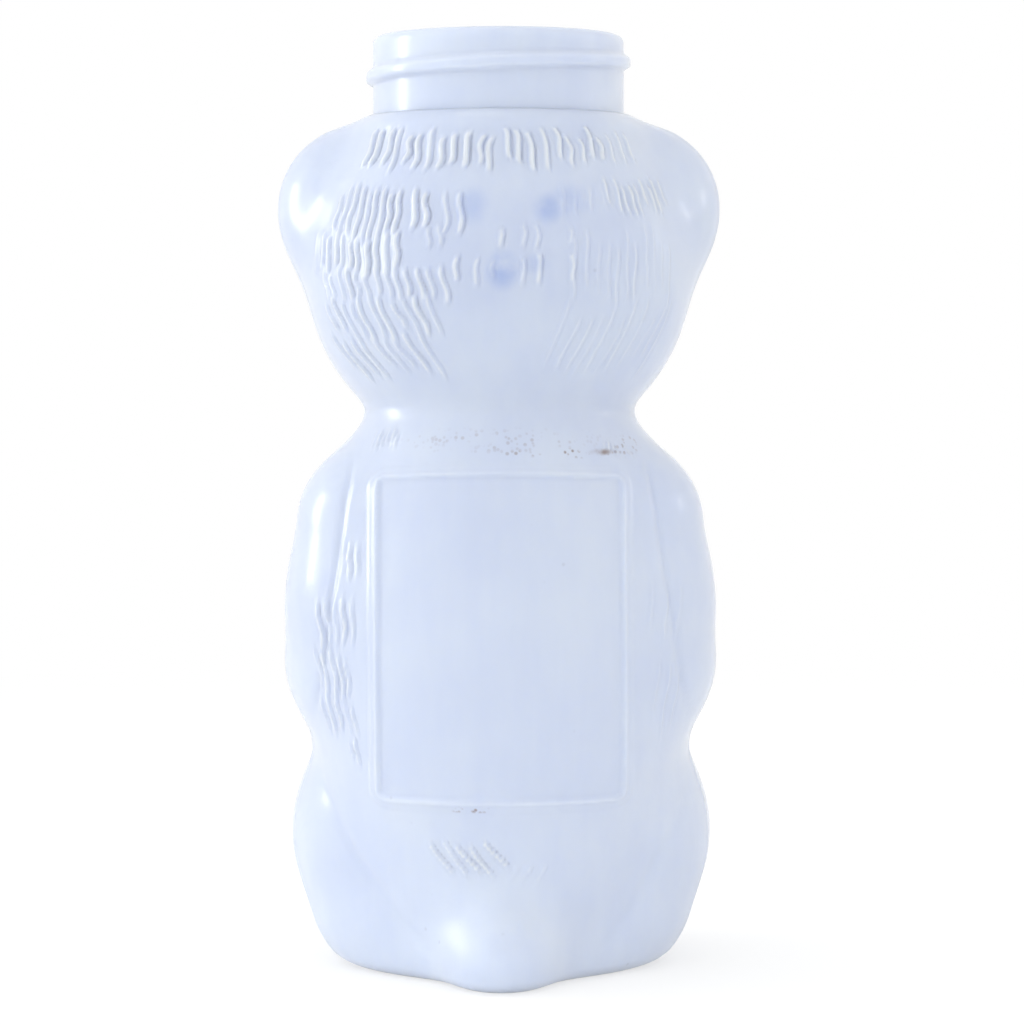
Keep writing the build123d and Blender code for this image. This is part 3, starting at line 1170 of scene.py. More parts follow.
@dataclass(frozen=True)
class WallRows:
    """Heights and insets of a wall's rows, with a rounded edge at each end.

    The floor and the roof are metres, and the edges' radii millimetres. The start angle is how
    far round its edge, in degrees, the row next to the flat face lies.
    """

    floor: float
    roof: float
    low_radius: float
    high_radius: float
    levels: int = 6
    start_angle: float = 30.0

    def edge(self, radius: float) -> list[tuple[float, float]]:
        """Rise and inset of each row of a rounded edge, from its flat face up.

        Args:
            radius: the edge's radius in millimetres.

        Returns:
            (rise, inset) in millimetres, one for each row.
        """
        start = self.start_angle * DEG
        turns = [start + (math.pi / 2 - start) * k / self.levels for k in range(self.levels + 1)]
        return [
            (radius * (math.cos(start) - math.cos(turn)), radius * (1 - math.sin(turn)))
            for turn in turns
        ]

    def rows(self, plan: GridPlan, spacing: float | None = None) -> tuple[np.ndarray, np.ndarray]:
        """Heights and insets from the floor to the roof, in metres.

        Args:
            plan: how finely the outer skin is drawn.
            spacing: one gap for all rows in millimetres, or None for the plan's own.

        Returns:
            Heights and insets, one of each for each row.
        """
        low = [(self.floor + rise * MM, inset * MM) for rise, inset in self.edge(self.low_radius)]
        high = [(self.roof - rise * MM, inset * MM) for rise, inset in self.edge(self.high_radius)]
        high.reverse()
        start, end = low[-1][0], high[0][0]
        if spacing is None:
            middle = plan.middle_heights(start, end)
        else:
            middle = np.linspace(start, end, math.ceil((end - start) / (spacing * MM)) + 1)[1:-1]
        rows = low + [(height, 0.0) for height in middle] + high
        heights, insets = np.array(rows).T
        return heights, insets


def wall_points(
    form: BearForm, azimuths: np.ndarray, heights: np.ndarray, insets: np.ndarray
) -> np.ndarray:
    """Points of a wall of the bear's form.

    Args:
        form: the bear's form.
        azimuths: angles of the columns.
        heights: heights of the rows.
        insets: how far each row is drawn in.

    Returns:
        Points as rows by columns by 3.
    """
    radii = form.radii(azimuths, heights, insets)
    return np.stack([ring_points(azimuths, r, h) for r, h in zip(radii, heights)])


@dataclass
class BottleShell:
    """The one piece: skin, base, neck and the wall's inner face, closed all round."""

    form: BearForm = BearForm()
    plan: GridPlan = GridPlan()
    base: Base = Base()
    neck: Neck = Neck()
    label: LabelFrame = LabelFrame()
    coat: FurCoat = FurCoat()
    reliefs: tuple = (Creases(), Face(), Paws(), MouldSeam())
    shoulder_edge_radius: float = 2.7
    inner_spacing: float = 1.9
    inner_edge_levels: int = 4
    relief_fade: float = 1.2

    def outer_skin(self) -> tuple[np.ndarray, np.ndarray]:
        """The outer skin with its reliefs.

        Returns:
            Points as rows by columns by 3, and how far the fur stands off each.
        """
        azimuths = self.plan.azimuths()
        radii = self.base.edge_radius, self.shoulder_edge_radius
        wall = WallRows(0, SHOULDER_HEIGHT, *radii, self.plan.edge_levels)
        heights, insets = wall.rows(self.plan)
        points = wall_points(self.form, azimuths, heights, insets)
        skin = SkinGrid(azimuths, points, grid_normals(points))
        fur = self.coat.height(skin)
        relief = fur + sum(part.height(skin) for part in (self.label, *self.reliefs))
        fade = self.relief_fade * MM
        low, high = self.base.edge_radius * MM, SHOULDER_HEIGHT - self.shoulder_edge_radius * MM
        relief = relief * smooth_step(low - fade, low, skin.z)
        relief = relief * (1 - smooth_step(high, high + fade, skin.z))
        return np.clip(points + skin.normals * relief[..., None], *CAD_BOX), fur

    def lay_underside(self, shell: RingShell, outline: np.ndarray) -> None:
        """Lay the underside, from the middle of the push-up out to the skin's first row.

        Args:
            shell: the shell to add to.
            outline: every second point of the skin's first row.
        """
        base = self.base
        azimuths = self.plan.azimuths()
        half, quarter = azimuths[::2], azimuths[::4]
        shell.pole((0, 0, base.pushup_depth * MM))
        for k in range(1, base.dome_levels):
            radius = base.pushup_radius * k / base.dome_levels
            shell.circle(quarter, radius * MM, base.dome_height(radius, 0) * MM)
        for offset in (-base.lip, 0, base.lip):
            radius = base.pushup_radius + offset
            shell.circle(half, radius * MM, max(base.dome_height(radius, 0), 0) * MM)
        lip = shell.points[-1]
        for k in range(1, base.flat_levels):
            shell.ring(lip + (outline - lip) * k / base.flat_levels)

    def lay_inside(self, shell: RingShell) -> None:
        """Lay the wall's inner face, from the bore down to the middle of the floor.

        Args:
            shell: the shell to add to.
        """
        base, wall = self.base, WALL / MM
        quarter = self.plan.azimuths()[::4]
        radii = (max(edge - wall, wall) for edge in (base.edge_radius, self.shoulder_edge_radius))
        inner_wall = WallRows(WALL, SHOULDER_HEIGHT - WALL, *radii, self.inner_edge_levels)
        heights, insets = inner_wall.rows(self.plan, self.inner_spacing)
        inside = wall_points(self.form, quarter, heights, insets + WALL)
        shell.circle(quarter, self.neck.bore_radius * MM, heights[-1])
        for row in inside[::-1]:
            shell.ring(row)
        foot = base.dome_foot(wall)
        floor = ring_points(quarter, np.full(quarter.shape, foot * MM), WALL)
        shell.ring((inside[0] + floor) / 2)
        shell.ring(floor)
        for k in range(base.dome_levels - 1, 0, -1):
            radius = foot * k / base.dome_levels
            shell.circle(quarter, radius * MM, base.dome_height(radius, wall) * MM)
        shell.pole((0, 0, base.dome_height(0, wall) * MM))

    def build(self) -> bpy.types.Object:
        """Build the mesh, from the middle of the underside to the middle of the floor inside.

        Returns:
            The bottle's object, with a zone on each face and the fur's height on each point.
        """
        shell = RingShell()
        skin, fur = self.outer_skin()
        self.lay_underside(shell, skin[0, ::2])
        first_row = shell.total
        for row in skin:
            shell.ring(row)
        neck_start = len(shell.faces)
        for ring in self.neck.rings(self.plan.azimuths()[::2]):
            shell.ring(ring)
        neck_end = len(shell.faces)
        self.lay_inside(shell)
        mesh = shell.mesh("bear_bottle")
        self.mark_relief(mesh, fur, first_row)
        self.mark_zones(mesh, neck_start, neck_end)
        return bpy.data.objects.new("bear_bottle", mesh)

    def mark_relief(self, mesh: bpy.types.Mesh, fur: np.ndarray, first_row: int) -> None:
        """Keep how far the fur stands off each point, for the finishes.

        Args:
            mesh: the bottle's mesh.
            fur: heights in metres, rows by columns.
            first_row: number of the skin's first point.
        """
        values = np.zeros(len(mesh.vertices), np.float32)
        values[first_row : first_row + fur.size] = fur.ravel() / MM
        mesh.attributes.new("relief", "FLOAT", "POINT").data.foreach_set("value", values)

    def mark_zones(self, mesh: bpy.types.Mesh, neck_start: int, neck_end: int) -> None:
        """Give each face its zone, which is also the number of its finish.

        Args:
            mesh: the bottle's mesh.
            neck_start: number of the neck's first face.
            neck_end: number after the neck's last face.
        """
        centres = np.zeros(len(mesh.polygons) * 3)
        mesh.polygons.foreach_get("center", centres)
        centres = centres.reshape(-1, 1, 3)
        grid = SkinGrid(np.zeros(1), centres, centres)
        inside = (self.label.edge_distance(grid) < -self.label.bead_width * MM) & (grid.y > 0)
        zones = np.where(inside.ravel(), Zone.PANEL.value, Zone.SKIN.value).astype(np.int32)
        zones[neck_start:] = Zone.SKIN.value
        zones[neck_start:neck_end] = Zone.NECK.value
        mesh.polygons.foreach_set("material_index", zones)


class NodeWriter:
    """Short ways to add and link nodes in one tree."""

    def __init__(self, tree: bpy.types.NodeTree) -> None:
        """Hold the tree to write in."""
        self.tree = tree

    def add(self, kind: str, inputs: dict | None = None, **settings: object) -> bpy.types.Node:
        """Add a node.

        Args:
            kind: the node's type, without its leading ShaderNode.
            inputs: socket names or numbers, each with a value or a socket to link from.
            settings: properties of the node itself.

        Returns:
            The new node.
        """
        node = self.tree.nodes.new("ShaderNode" + kind)
        for name, value in settings.items():
            setattr(node, name, value)
        for name, value in (inputs or {}).items():
            if isinstance(value, bpy.types.NodeSocket):
                self.tree.links.new(value, node.inputs[name])
            else:
                node.inputs[name].default_value = value
        return node

    def math(self, operation: str, *values: object) -> bpy.types.NodeSocket:
        """Add a Math node and give its result.

        Args:
            operation: what it does, such as MULTIPLY.
            values: numbers or sockets.

        Returns:
            The result's socket.
        """
        return self.add("Math", dict(enumerate(values)), operation=operation).outputs[0]

    def noise(self, place: object, scale: object, detail: float, rough: float = 0.5) -> object:
        """Add a Noise Texture and give its value.

        Args:
            place: socket of the position.
            scale: number or socket, for each metre.
            detail: number of finer layers.
            rough: strength of each finer layer, as a share of the last.

        Returns:
            The value's socket.
        """
        inputs = {"Vector": place, "Scale": scale, "Detail": detail, "Roughness": rough}
        return self.add("TexNoise", inputs).outputs[0]

    def link(self, value: bpy.types.NodeSocket, node: bpy.types.Node, name: str) -> None:
        """Link a socket to a node's input of that name."""
        self.tree.links.new(value, node.inputs[name])

    def mix(self, share: object, first: object, second: object) -> bpy.types.NodeSocket:
        """Mix two colours.

        Args:
            share: socket or number, 0 for the first colour and 1 for the second.
            first: colour or socket.
            second: colour or socket.

        Returns:
            The mixed colour's socket.
        """
        return self.add("Mix", {0: share, 6: first, 7: second}, data_type="RGBA").outputs[2]

    def ramp(
        self, value: object, low: float, high: float, out_low: float = 0, out_high: float = 1
    ) -> bpy.types.NodeSocket:
        """Map a value smoothly from one range to another.

        Args:
            value: socket to read.
            low: value that gives out_low.
            high: value that gives out_high.
            out_low: result at low.
            out_high: result at high.

        Returns:
            The result's socket.
        """
        inputs = {"Value": value, "From Min": low, "From Max": high}
        inputs |= {"To Min": out_low, "To Max": out_high}
        node = self.add("MapRange", inputs, interpolation_type="SMOOTHSTEP")
        return node.outputs["Result"]


def new_group(name: str, inputs: dict[str, str], outputs: dict[str, str]) -> tuple:
    """Start a shader node group.

    Args:
        name: the group's name.
        inputs: each input's name with its socket type.
        outputs: each output's name with its socket type.

    Returns:
        The group, its writer, the node of its inputs and the node of its outputs.
    """
    group = bpy.data.node_groups.new(name, "ShaderNodeTree")
    for direction, sockets in (("INPUT", inputs), ("OUTPUT", outputs)):
        for label, kind in sockets.items():
            group.interface.new_socket(label, in_out=direction, socket_type="NodeSocket" + kind)
    source = group.nodes.new("NodeGroupInput")
    result = group.nodes.new("NodeGroupOutput")
    return group, NodeWriter(group), source, result


@dataclass(frozen=True)
class WallClouding:
    """Soft clouds, streaks and specks of the blown wall, where it is thicker or thinner.

    Scales are for each metre. A range is the values at which a mask is 0 and at which it is 1.
    """

    cloud_detail: float = 3.0
    cloud_roughness: float = 0.55
    cloud_share: float = 0.75
    streak_scales: tuple[float, float, float] = (1.0, 1.0, 0.18)
    streak_scale: float = 420.0
    streak_share: float = 0.25
    thick_range: tuple[float, float] = (0.3, 0.7)
    speck_scale: float = 260.0
    speck_range: tuple[float, float] = (0.10, 0.02)
    patch_scale: float = 55.0
    patch_range: tuple[float, float] = (0.58, 0.68)
    fine_detail: float = 2.0

    def build(self) -> bpy.types.NodeTree:
        """Build the node group.

        Returns:
            The group, which gives the wall's thickness and its specks.
        """
        group, w, source, result = new_group(
            "wall_clouding",
            {"Vector": "Vector", "Cloud Scale": "Float"},
            {"Thickness": "Float", "Speck": "Float"},
        )
        place, scale = source.outputs["Vector"], source.outputs["Cloud Scale"]
        clouds = w.noise(place, scale, self.cloud_detail, self.cloud_roughness)
        drawn = w.add("Mapping", {"Vector": place, "Scale": self.streak_scales}).outputs[0]
        streaks = w.noise(drawn, self.streak_scale, self.fine_detail)
        clouds = w.math("MULTIPLY", clouds, self.cloud_share)
        mixed = w.math("ADD", clouds, w.math("MULTIPLY", streaks, self.streak_share))
        specks = w.add("TexVoronoi", {"Vector": place, "Scale": self.speck_scale})
        near = w.ramp(specks.outputs["Distance"], *self.speck_range)
        patches = w.ramp(w.noise(place, self.patch_scale, self.fine_detail), *self.patch_range)
        w.link(w.ramp(mixed, *self.thick_range), result, "Thickness")
        w.link(w.math("MULTIPLY", near, patches), result, "Speck")
        return group


@dataclass(frozen=True)
class MouldedSurface:
    """The mould's fine texture: a slow ripple and a fine grain. Scales are for each metre."""

    ripple_scale: float = 190.0
    ripple_detail: float = 2.0
    grain_scale: float = 1500.0
    grain_detail: float = 4.0
    grain_roughness: float = 0.6

    def build(self) -> bpy.types.NodeTree:
        """Build the node group.

        Returns:
            The group, which gives the texture's height.
        """
        group, w, source, result = new_group(
            "moulded_surface",
            {"Vector": "Vector", "Ripple": "Float", "Grain": "Float"},
            {"Height": "Float"},
        )
        place = source.outputs["Vector"]
        ripple = w.noise(place, self.ripple_scale, self.ripple_detail)
        grain = w.noise(place, self.grain_scale, self.grain_detail, self.grain_roughness)
        ripple = w.math("MULTIPLY", ripple, source.outputs["Ripple"])
        grain = w.math("MULTIPLY", grain, source.outputs["Grain"])
        w.link(w.math("ADD", ripple, grain), result, "Height")
        return group


@dataclass(frozen=True)
class ScuffsAndFurShading:
    """Fine scuffs, a painted highlight and a little polish on the fur's crests, and painted shade in
    its grooves.

    Scales are for each metre, and turns are radians. A range is the values at which a mask is
    0 and at which it is 1, and those of the crests and the grooves are heights of the fur in
    millimetres.
    """

    scuff_turns: tuple[float, float, float] = (0.4, 0.9, 0.3)
    scuff_scales: tuple[float, float, float] = (1.0, 0.06, 1.0)
    scuff_scale: float = 900.0
    scuff_detail: float = 2.0
    scuff_range: tuple[float, float] = (0.62, 0.74)
    patch_scale: float = 70.0
    patch_detail: float = 3.0
    patch_range: tuple[float, float] = (0.5, 0.68)
    # Patches where the grooves' painted shade shows.
    groove_shade_patch_range: tuple[float, float] = (0.35, 0.65)
    # Fur heights of the crests, which get a painted highlight and a little polish.
    crest_range: tuple[float, float] = (0.08, 0.3)
    # Fur heights of the grooves, which get painted shade.
    groove_shade_range: tuple[float, float] = (-0.03, -0.16)

    def build(self) -> bpy.types.NodeTree:
        """Build the node group.

        Returns:
            The group, which gives masks of the scuffs, of the crests' painted highlight and polish,
            and of the grooves' painted shade.
        """
        group, w, source, result = new_group(
            "scuffs_and_fur_shading",
            {"Vector": "Vector", "Relief": "Float", "Scuffs": "Float"},
            {"Scuff": "Float", "Crest Highlight And Polish": "Float", "Groove Shade": "Float"},
        )
        place, relief = source.outputs["Vector"], source.outputs["Relief"]
        turned = {"Vector": place, "Rotation": self.scuff_turns, "Scale": self.scuff_scales}
        tilted = w.add("Mapping", turned).outputs[0]
        lines = w.ramp(w.noise(tilted, self.scuff_scale, self.scuff_detail), *self.scuff_range)
        patches = w.noise(place, self.patch_scale, self.patch_detail)
        scuff = w.math("MULTIPLY", lines, w.ramp(patches, *self.patch_range))
        w.link(w.math("MULTIPLY", scuff, source.outputs["Scuffs"]), result, "Scuff")
        # Crests of the fur: a painted highlight in the colour, and a little polish in the roughness.
        w.link(w.ramp(relief, *self.crest_range), result, "Crest Highlight And Polish")
        # Grooves of the fur, in patches: painted shade.
        groove_shade = w.math("MULTIPLY", w.ramp(relief, *self.groove_shade_range), w.ramp(patches, *self.groove_shade_patch_range))
        w.link(groove_shade, result, "Groove Shade")
        return group


@dataclass(frozen=True)
class Blot:
    """A soft patch on the back, by its (across, up) centre and half sizes in millimetres."""

    centre: tuple[float, float]
    half_sizes: tuple[float, float]
    strength: float = 1.0
    edge_range: tuple[float, float] = (1.25, 0.25)

    def mask(self, w: NodeWriter, place: object) -> bpy.types.NodeSocket:
        """Add the patch's nodes.

        Args:
            w: writer of the group's tree.
            place: socket of the position.

        Returns:
            A mask, the blot's strength in the middle and 0 outside.
        """
        centre = (self.centre[0] * MM, 0.0, self.centre[1] * MM)
        scale = (1 / (self.half_sizes[0] * MM), 0.0, 1 / (self.half_sizes[1] * MM))
        moved = w.add("VectorMath", {0: place, 1: centre}, operation="SUBTRACT").outputs[0]
        sized = w.add("VectorMath", {0: moved, 1: scale}, operation="MULTIPLY").outputs[0]
        away = w.add("VectorMath", {0: sized}, operation="LENGTH").outputs["Value"]
        return w.math("MULTIPLY", w.ramp(away, *self.edge_range), self.strength)


@dataclass(frozen=True)
class FaceShadeAndDirt:
    """Painted shade of the face as it would show faintly through the head, and dirt over and under
    the label's bead.

    Scales are for each metre. A range is the values at which a mask is 0 and at which it is 1.
    """

    # Painted shade where the face's eyes and nose would show through the head.
    face_shade_blots: tuple[Blot, ...] = (
        Blot((-6.7, 106.6), (2.2, 2.2)),
        Blot((-9.6, 107.6), (3.0, 2.6), 0.45),
        Blot((3.8, 107.0), (2.4, 2.8), 0.6),
        Blot((-0.5, 98.2), (2.3, 2.9), 1.15),
        Blot((-4.6, 99.0), (2.2, 1.4), 0.4),
    )
    dirt_lines: tuple[Blot, ...] = (
        Blot((-8.5, 73.3), (9.5, 0.75)),
        Blot((0.0, 75.0), (16.0, 1.8), 0.35),
        Blot((4.0, 24.9), (4.0, 0.5), 0.9),
        Blot((-17.5, 74.0), (2.0, 1.6), 0.7),
    )
    smear: Blot = Blot((-13.9, 73.35), (1.7, 0.5))
    back_depth: float = 2.0
    patch_scale: float = 330.0
    patch_detail: float = 3.0
    face_shade_range: tuple[float, float] = (0.15, 0.6)
    dot_scale: float = 1300.0
    dot_range: tuple[float, float] = (0.46, 0.2)
    dotted_range: tuple[float, float] = (0.4, 0.56)
    smear_range: tuple[float, float] = (0.35, 0.6)

    @staticmethod
    def strongest(w: NodeWriter, place: object, blots: tuple[Blot, ...]) -> bpy.types.NodeSocket:
        """Lay several blots over one another.

        Args:
            w: writer of the group's tree.
            place: socket of the position.
            blots: the blots.

        Returns:
            A mask, the strongest blot's at each place.
        """
        total = blots[0].mask(w, place)
        for blot in blots[1:]:
            total = w.math("MAXIMUM", total, blot.mask(w, place))
        return total

    def build(self) -> bpy.types.NodeTree:
        """Build the node group.

        Returns:
            The group, which gives masks of the face's painted shade and of the dirt.
        """
        group, w, source, result = new_group(
            "face_shade_and_dirt", {"Vector": "Vector"}, {"Face Shade": "Float", "Dirt": "Float"}
        )
        place = source.outputs["Vector"]
        depth = w.add("SeparateXYZ", {0: place}).outputs["Y"]
        back = w.ramp(depth, 0.0, self.back_depth * MM)
        patches = w.noise(place, self.patch_scale, self.patch_detail)
        # Painted shade of the face seen through the head, broken up in patches.
        face_shade = self.strongest(w, place, self.face_shade_blots)
        face_shade = w.math("MULTIPLY", face_shade, w.ramp(patches, *self.face_shade_range))
        dots = w.add("TexVoronoi", {"Vector": place, "Scale": self.dot_scale})
        dots = w.ramp(dots.outputs["Distance"], *self.dot_range)
        dots = w.math("MULTIPLY", dots, w.ramp(patches, *self.dotted_range))
        dirt = w.math("MULTIPLY", self.strongest(w, place, self.dirt_lines), dots)
        smear = w.math("MULTIPLY", self.smear.mask(w, place), w.ramp(patches, *self.smear_range))
        dirt = w.math("MAXIMUM", dirt, smear)
        w.link(w.math("MULTIPLY", face_shade, back), result, "Face Shade")
        w.link(w.math("MULTIPLY", dirt, back), result, "Dirt")
        return group


class PlasticEffects:
    """Node groups that the bottle's finishes share. Each is built once."""

    def __init__(self) -> None:
        """Build the groups."""
        self.clouding = WallClouding().build()
        self.surface = MouldedSurface().build()
        self.scuffs_and_shading = ScuffsAndFurShading().build()
        self.face_shade_and_dirt = FaceShadeAndDirt().build()


@dataclass(frozen=True)
class MilkyPlastic:
    """Natural squeeze-bottle plastic: milky, a little see-through, with a soft gloss.

    A share is how strongly its effect colours or roughens the plastic. The film is a glossy
    coat, and the rubbed share is what is left of it near the foot. The scatter depth, the
    ripple, the grain and the heights between which the film comes back are millimetres. The
    roughness stays at 0.28 or more all over: where it crosses about 0.274, the render's noise
    filter tears the surface into patches.
    """

    name: str
    thick_tint: tuple[float, float, float, float] = (0.740, 0.800, 0.925, 1.0)
    thin_tint: tuple[float, float, float, float] = (0.680, 0.745, 0.900, 1.0)
    # Colour of the painted highlight on the fur's crests.
    crest_highlight_tint: tuple[float, float, float, float] = (0.86, 0.90, 0.97, 1.0)
    # Colour of the painted shade in the fur's grooves, and of the wall's specks.
    groove_shade_and_speck_tint: tuple[float, float, float, float] = (0.46, 0.49, 0.56, 1.0)
    # Colour of the painted shade of the face seen through the head.
    face_shade_tint: tuple[float, float, float, float] = (0.40, 0.52, 0.82, 1.0)
    dirt_tint: tuple[float, float, float, float] = (0.26, 0.17, 0.14, 1.0)
    crest_highlight_share: float = 0.6
    groove_shade_share: float = 0.4
    face_shade_share: float = 0.6
    dirt_share: float = 0.85
    speck_share: float = 0.35
    roughness: float = 0.30
    roughness_swing: float = 0.05
    scuff_share: float = 0.25
    polish_share: float = 0.02
    refraction: float = 1.51
    film: float = 0.6
    film_roughness: float = 0.17
    rubbed_share: float = 0.15
    rubbed_heights: tuple[float, float] = (6.0, 22.0)
    see_through: float = 0.30
    scatter_depth: float = 0.75
    ripple: float = 0.10
    grain: float = 0.012
    scuffs: float = 0.12
    cloud_scale: float = 60.0

    def build(self, effects: PlasticEffects) -> bpy.types.Material:
        """Build the material.

        Args:
            effects: the node groups that the finishes share.

        Returns:
            The new material.
        """
        material = bpy.data.materials.new(self.name)
        material.use_nodes = True
        tree = material.node_tree
        w = NodeWriter(tree)
        shader = tree.nodes["Principled BSDF"]
        place = w.add("TexCoord").outputs["Object"]
        relief = w.add("Attribute", attribute_name="relief").outputs["Fac"]
        clouding = w.add("Group", node_tree=effects.clouding)
        surface = w.add("Group", node_tree=effects.surface)
        scuffs_and_shading = w.add("Group", node_tree=effects.scuffs_and_shading)
        face_shade_and_dirt = w.add("Group", node_tree=effects.face_shade_and_dirt)
        for group in (clouding, surface, scuffs_and_shading, face_shade_and_dirt):
            w.link(place, group, "Vector")
        clouding.inputs["Cloud Scale"].default_value = self.cloud_scale
        surface.inputs["Ripple"].default_value = self.ripple
        surface.inputs["Grain"].default_value = self.grain
        scuffs_and_shading.inputs["Scuffs"].default_value = self.scuffs
        w.link(relief, scuffs_and_shading, "Relief")
        colour = w.mix(clouding.outputs["Thickness"], self.thin_tint, self.thick_tint)
        layers = (
            # Painted highlight on the fur's crests.
            (scuffs_and_shading.outputs["Crest Highlight And Polish"], self.crest_highlight_share, self.crest_highlight_tint),
            # Painted shade in the fur's grooves.
            (scuffs_and_shading.outputs["Groove Shade"], self.groove_shade_share, self.groove_shade_and_speck_tint),
            # Painted shade of the face seen through the head.
            (face_shade_and_dirt.outputs["Face Shade"], self.face_shade_share, self.face_shade_tint),
            (face_shade_and_dirt.outputs["Dirt"], self.dirt_share, self.dirt_tint),
            (clouding.outputs["Speck"], self.speck_share, self.groove_shade_and_speck_tint),
        )
        for mask, share, tint in layers:
            colour = w.mix(w.math("MULTIPLY", mask, share), colour, tint)
        w.link(colour, shader, "Base Color")
        thickness = clouding.outputs["Thickness"]
        rough = w.math("MULTIPLY_ADD", thickness, self.roughness_swing, self.roughness)
        rough = w.math("ADD", rough, w.math("MULTIPLY", scuffs_and_shading.outputs["Scuff"], self.scuff_share))
        polish = w.math("MULTIPLY", scuffs_and_shading.outputs["Crest Highlight And Polish"], self.polish_share)
        w.link(w.math("SUBTRACT", rough, polish), shader, "Roughness")
        bump = w.add("Bump", {"Strength": 1.0, "Distance": MM, "Height": surface.outputs["Height"]})
        w.link(bump.outputs[0], shader, "Normal")
        shader.inputs["IOR"].default_value = self.refraction
        height = w.add("SeparateXYZ", {0: place}).outputs["Z"]
        low, high = (mark * MM for mark in self.rubbed_heights)
        film = w.ramp(height, low, high, self.film * self.rubbed_share, self.film)
        w.link(film, shader, "Coat Weight")
        shader.inputs["Coat Roughness"].default_value = self.film_roughness
        shader.inputs["Subsurface Weight"].default_value = 1.0
        shader.inputs["Subsurface Radius"].default_value = (1.0, 1.0, 1.0)
        shader.inputs["Subsurface Scale"].default_value = self.scatter_depth * MM
        shader.inputs["Transmission Weight"].default_value = self.see_through
        return material


@dataclass(frozen=True)
class StudioPaper:
    """Plain white paper under the bottle, which keeps its soft shadow.

    Near the bottle a camera sees it mostly white, and further off as pure white. Distances
    from the middle are metres, and the fibres' depth is millimetres.
    """

    tint: tuple[float, float, float, float] = (0.93, 0.935, 0.94, 1.0)
    shown_white: float = 0.62
    clear_from: float = 0.12
    clear_to: float = 0.45
    fibre_scale: float = 900.0
    fibre_detail: float = 3.0
    fibre_strength: float = 0.1
    fibre_depth: float = 0.05

    def build(self) -> bpy.types.Material:
        """Build the material.

        Returns:
            The new material.
        """
        material = bpy.data.materials.new("studio_paper")
        material.use_nodes = True
        tree = material.node_tree
        tree.nodes.clear()
        w = NodeWriter(tree)
        place = w.add("TexCoord").outputs["Object"]
        fibre = w.noise(place, self.fibre_scale, self.fibre_detail)
        depth = self.fibre_depth * MM
        bump = w.add("Bump", {"Strength": self.fibre_strength, "Distance": depth, "Height": fibre})
        paper = w.add("BsdfDiffuse", {"Color": self.tint, "Normal": bump.outputs[0]})
        white = w.add("Emission", {"Color": WHITE, "Strength": 1.0})
        away = w.add("VectorMath", {0: place}, operation="LENGTH").outputs["Value"]
        share = w.ramp(away, self.clear_from, self.clear_to, self.shown_white, 1.0)
        share = w.math("MULTIPLY", share, seen_directly(w))
        mixed = w.add("MixShader", {0: share, 1: paper.outputs[0], 2: white.outputs[0]})
        w.link(mixed.outputs[0], w.add("OutputMaterial"), "Surface")
        return material


def seen_directly(w: NodeWriter) -> bpy.types.NodeSocket:
    """Tell the rays that the camera sees from those that only light the bottle.

    Args:
        w: writer of the material's or world's tree.

    Returns:
        Socket of 1 for rays from the camera, mirrored or let through, else 0.
    """
    path = w.add("LightPath").outputs
    seen = w.math("MAXIMUM", path["Is Camera Ray"], path["Is Glossy Ray"])
    return w.math("MAXIMUM", seen, path["Is Transmission Ray"])


@dataclass(frozen=True)
class Softbox:
    """A rectangular lamp, by where it stands, its size and what it points at, in millimetres.

    Its power is watts. Its spread is the angle of its beam in degrees, and mirrored says
    whether its image shows in the gloss.
    """

    name: str
    place: tuple[float, float, float]
    size: tuple[float, float]
    power: float
    tint: tuple[float, float, float] = (1.0, 1.0, 1.0)
    aim: tuple[float, float, float] = (0.0, 0.0, 62.0)
    spread: float = 180.0
    mirrored: bool = True

    def build(self) -> bpy.types.Object:
        """Build the lamp.

        Returns:
            The lamp's object.
        """
        lamp = bpy.data.lights.new(self.name, "AREA")
        lamp.shape = "RECTANGLE"
        lamp.size, lamp.size_y = self.size[0] * MM, self.size[1] * MM
        lamp.energy = self.power
        lamp.color = self.tint
        lamp.spread = self.spread * DEG
        holder = bpy.data.objects.new(self.name, lamp)
        holder.visible_glossy = self.mirrored
        holder.location = Vector(self.place) * MM
        way = Vector(self.aim) * MM - holder.location
        holder.rotation_euler = way.to_track_quat("-Z", "Y").to_euler()
        return holder


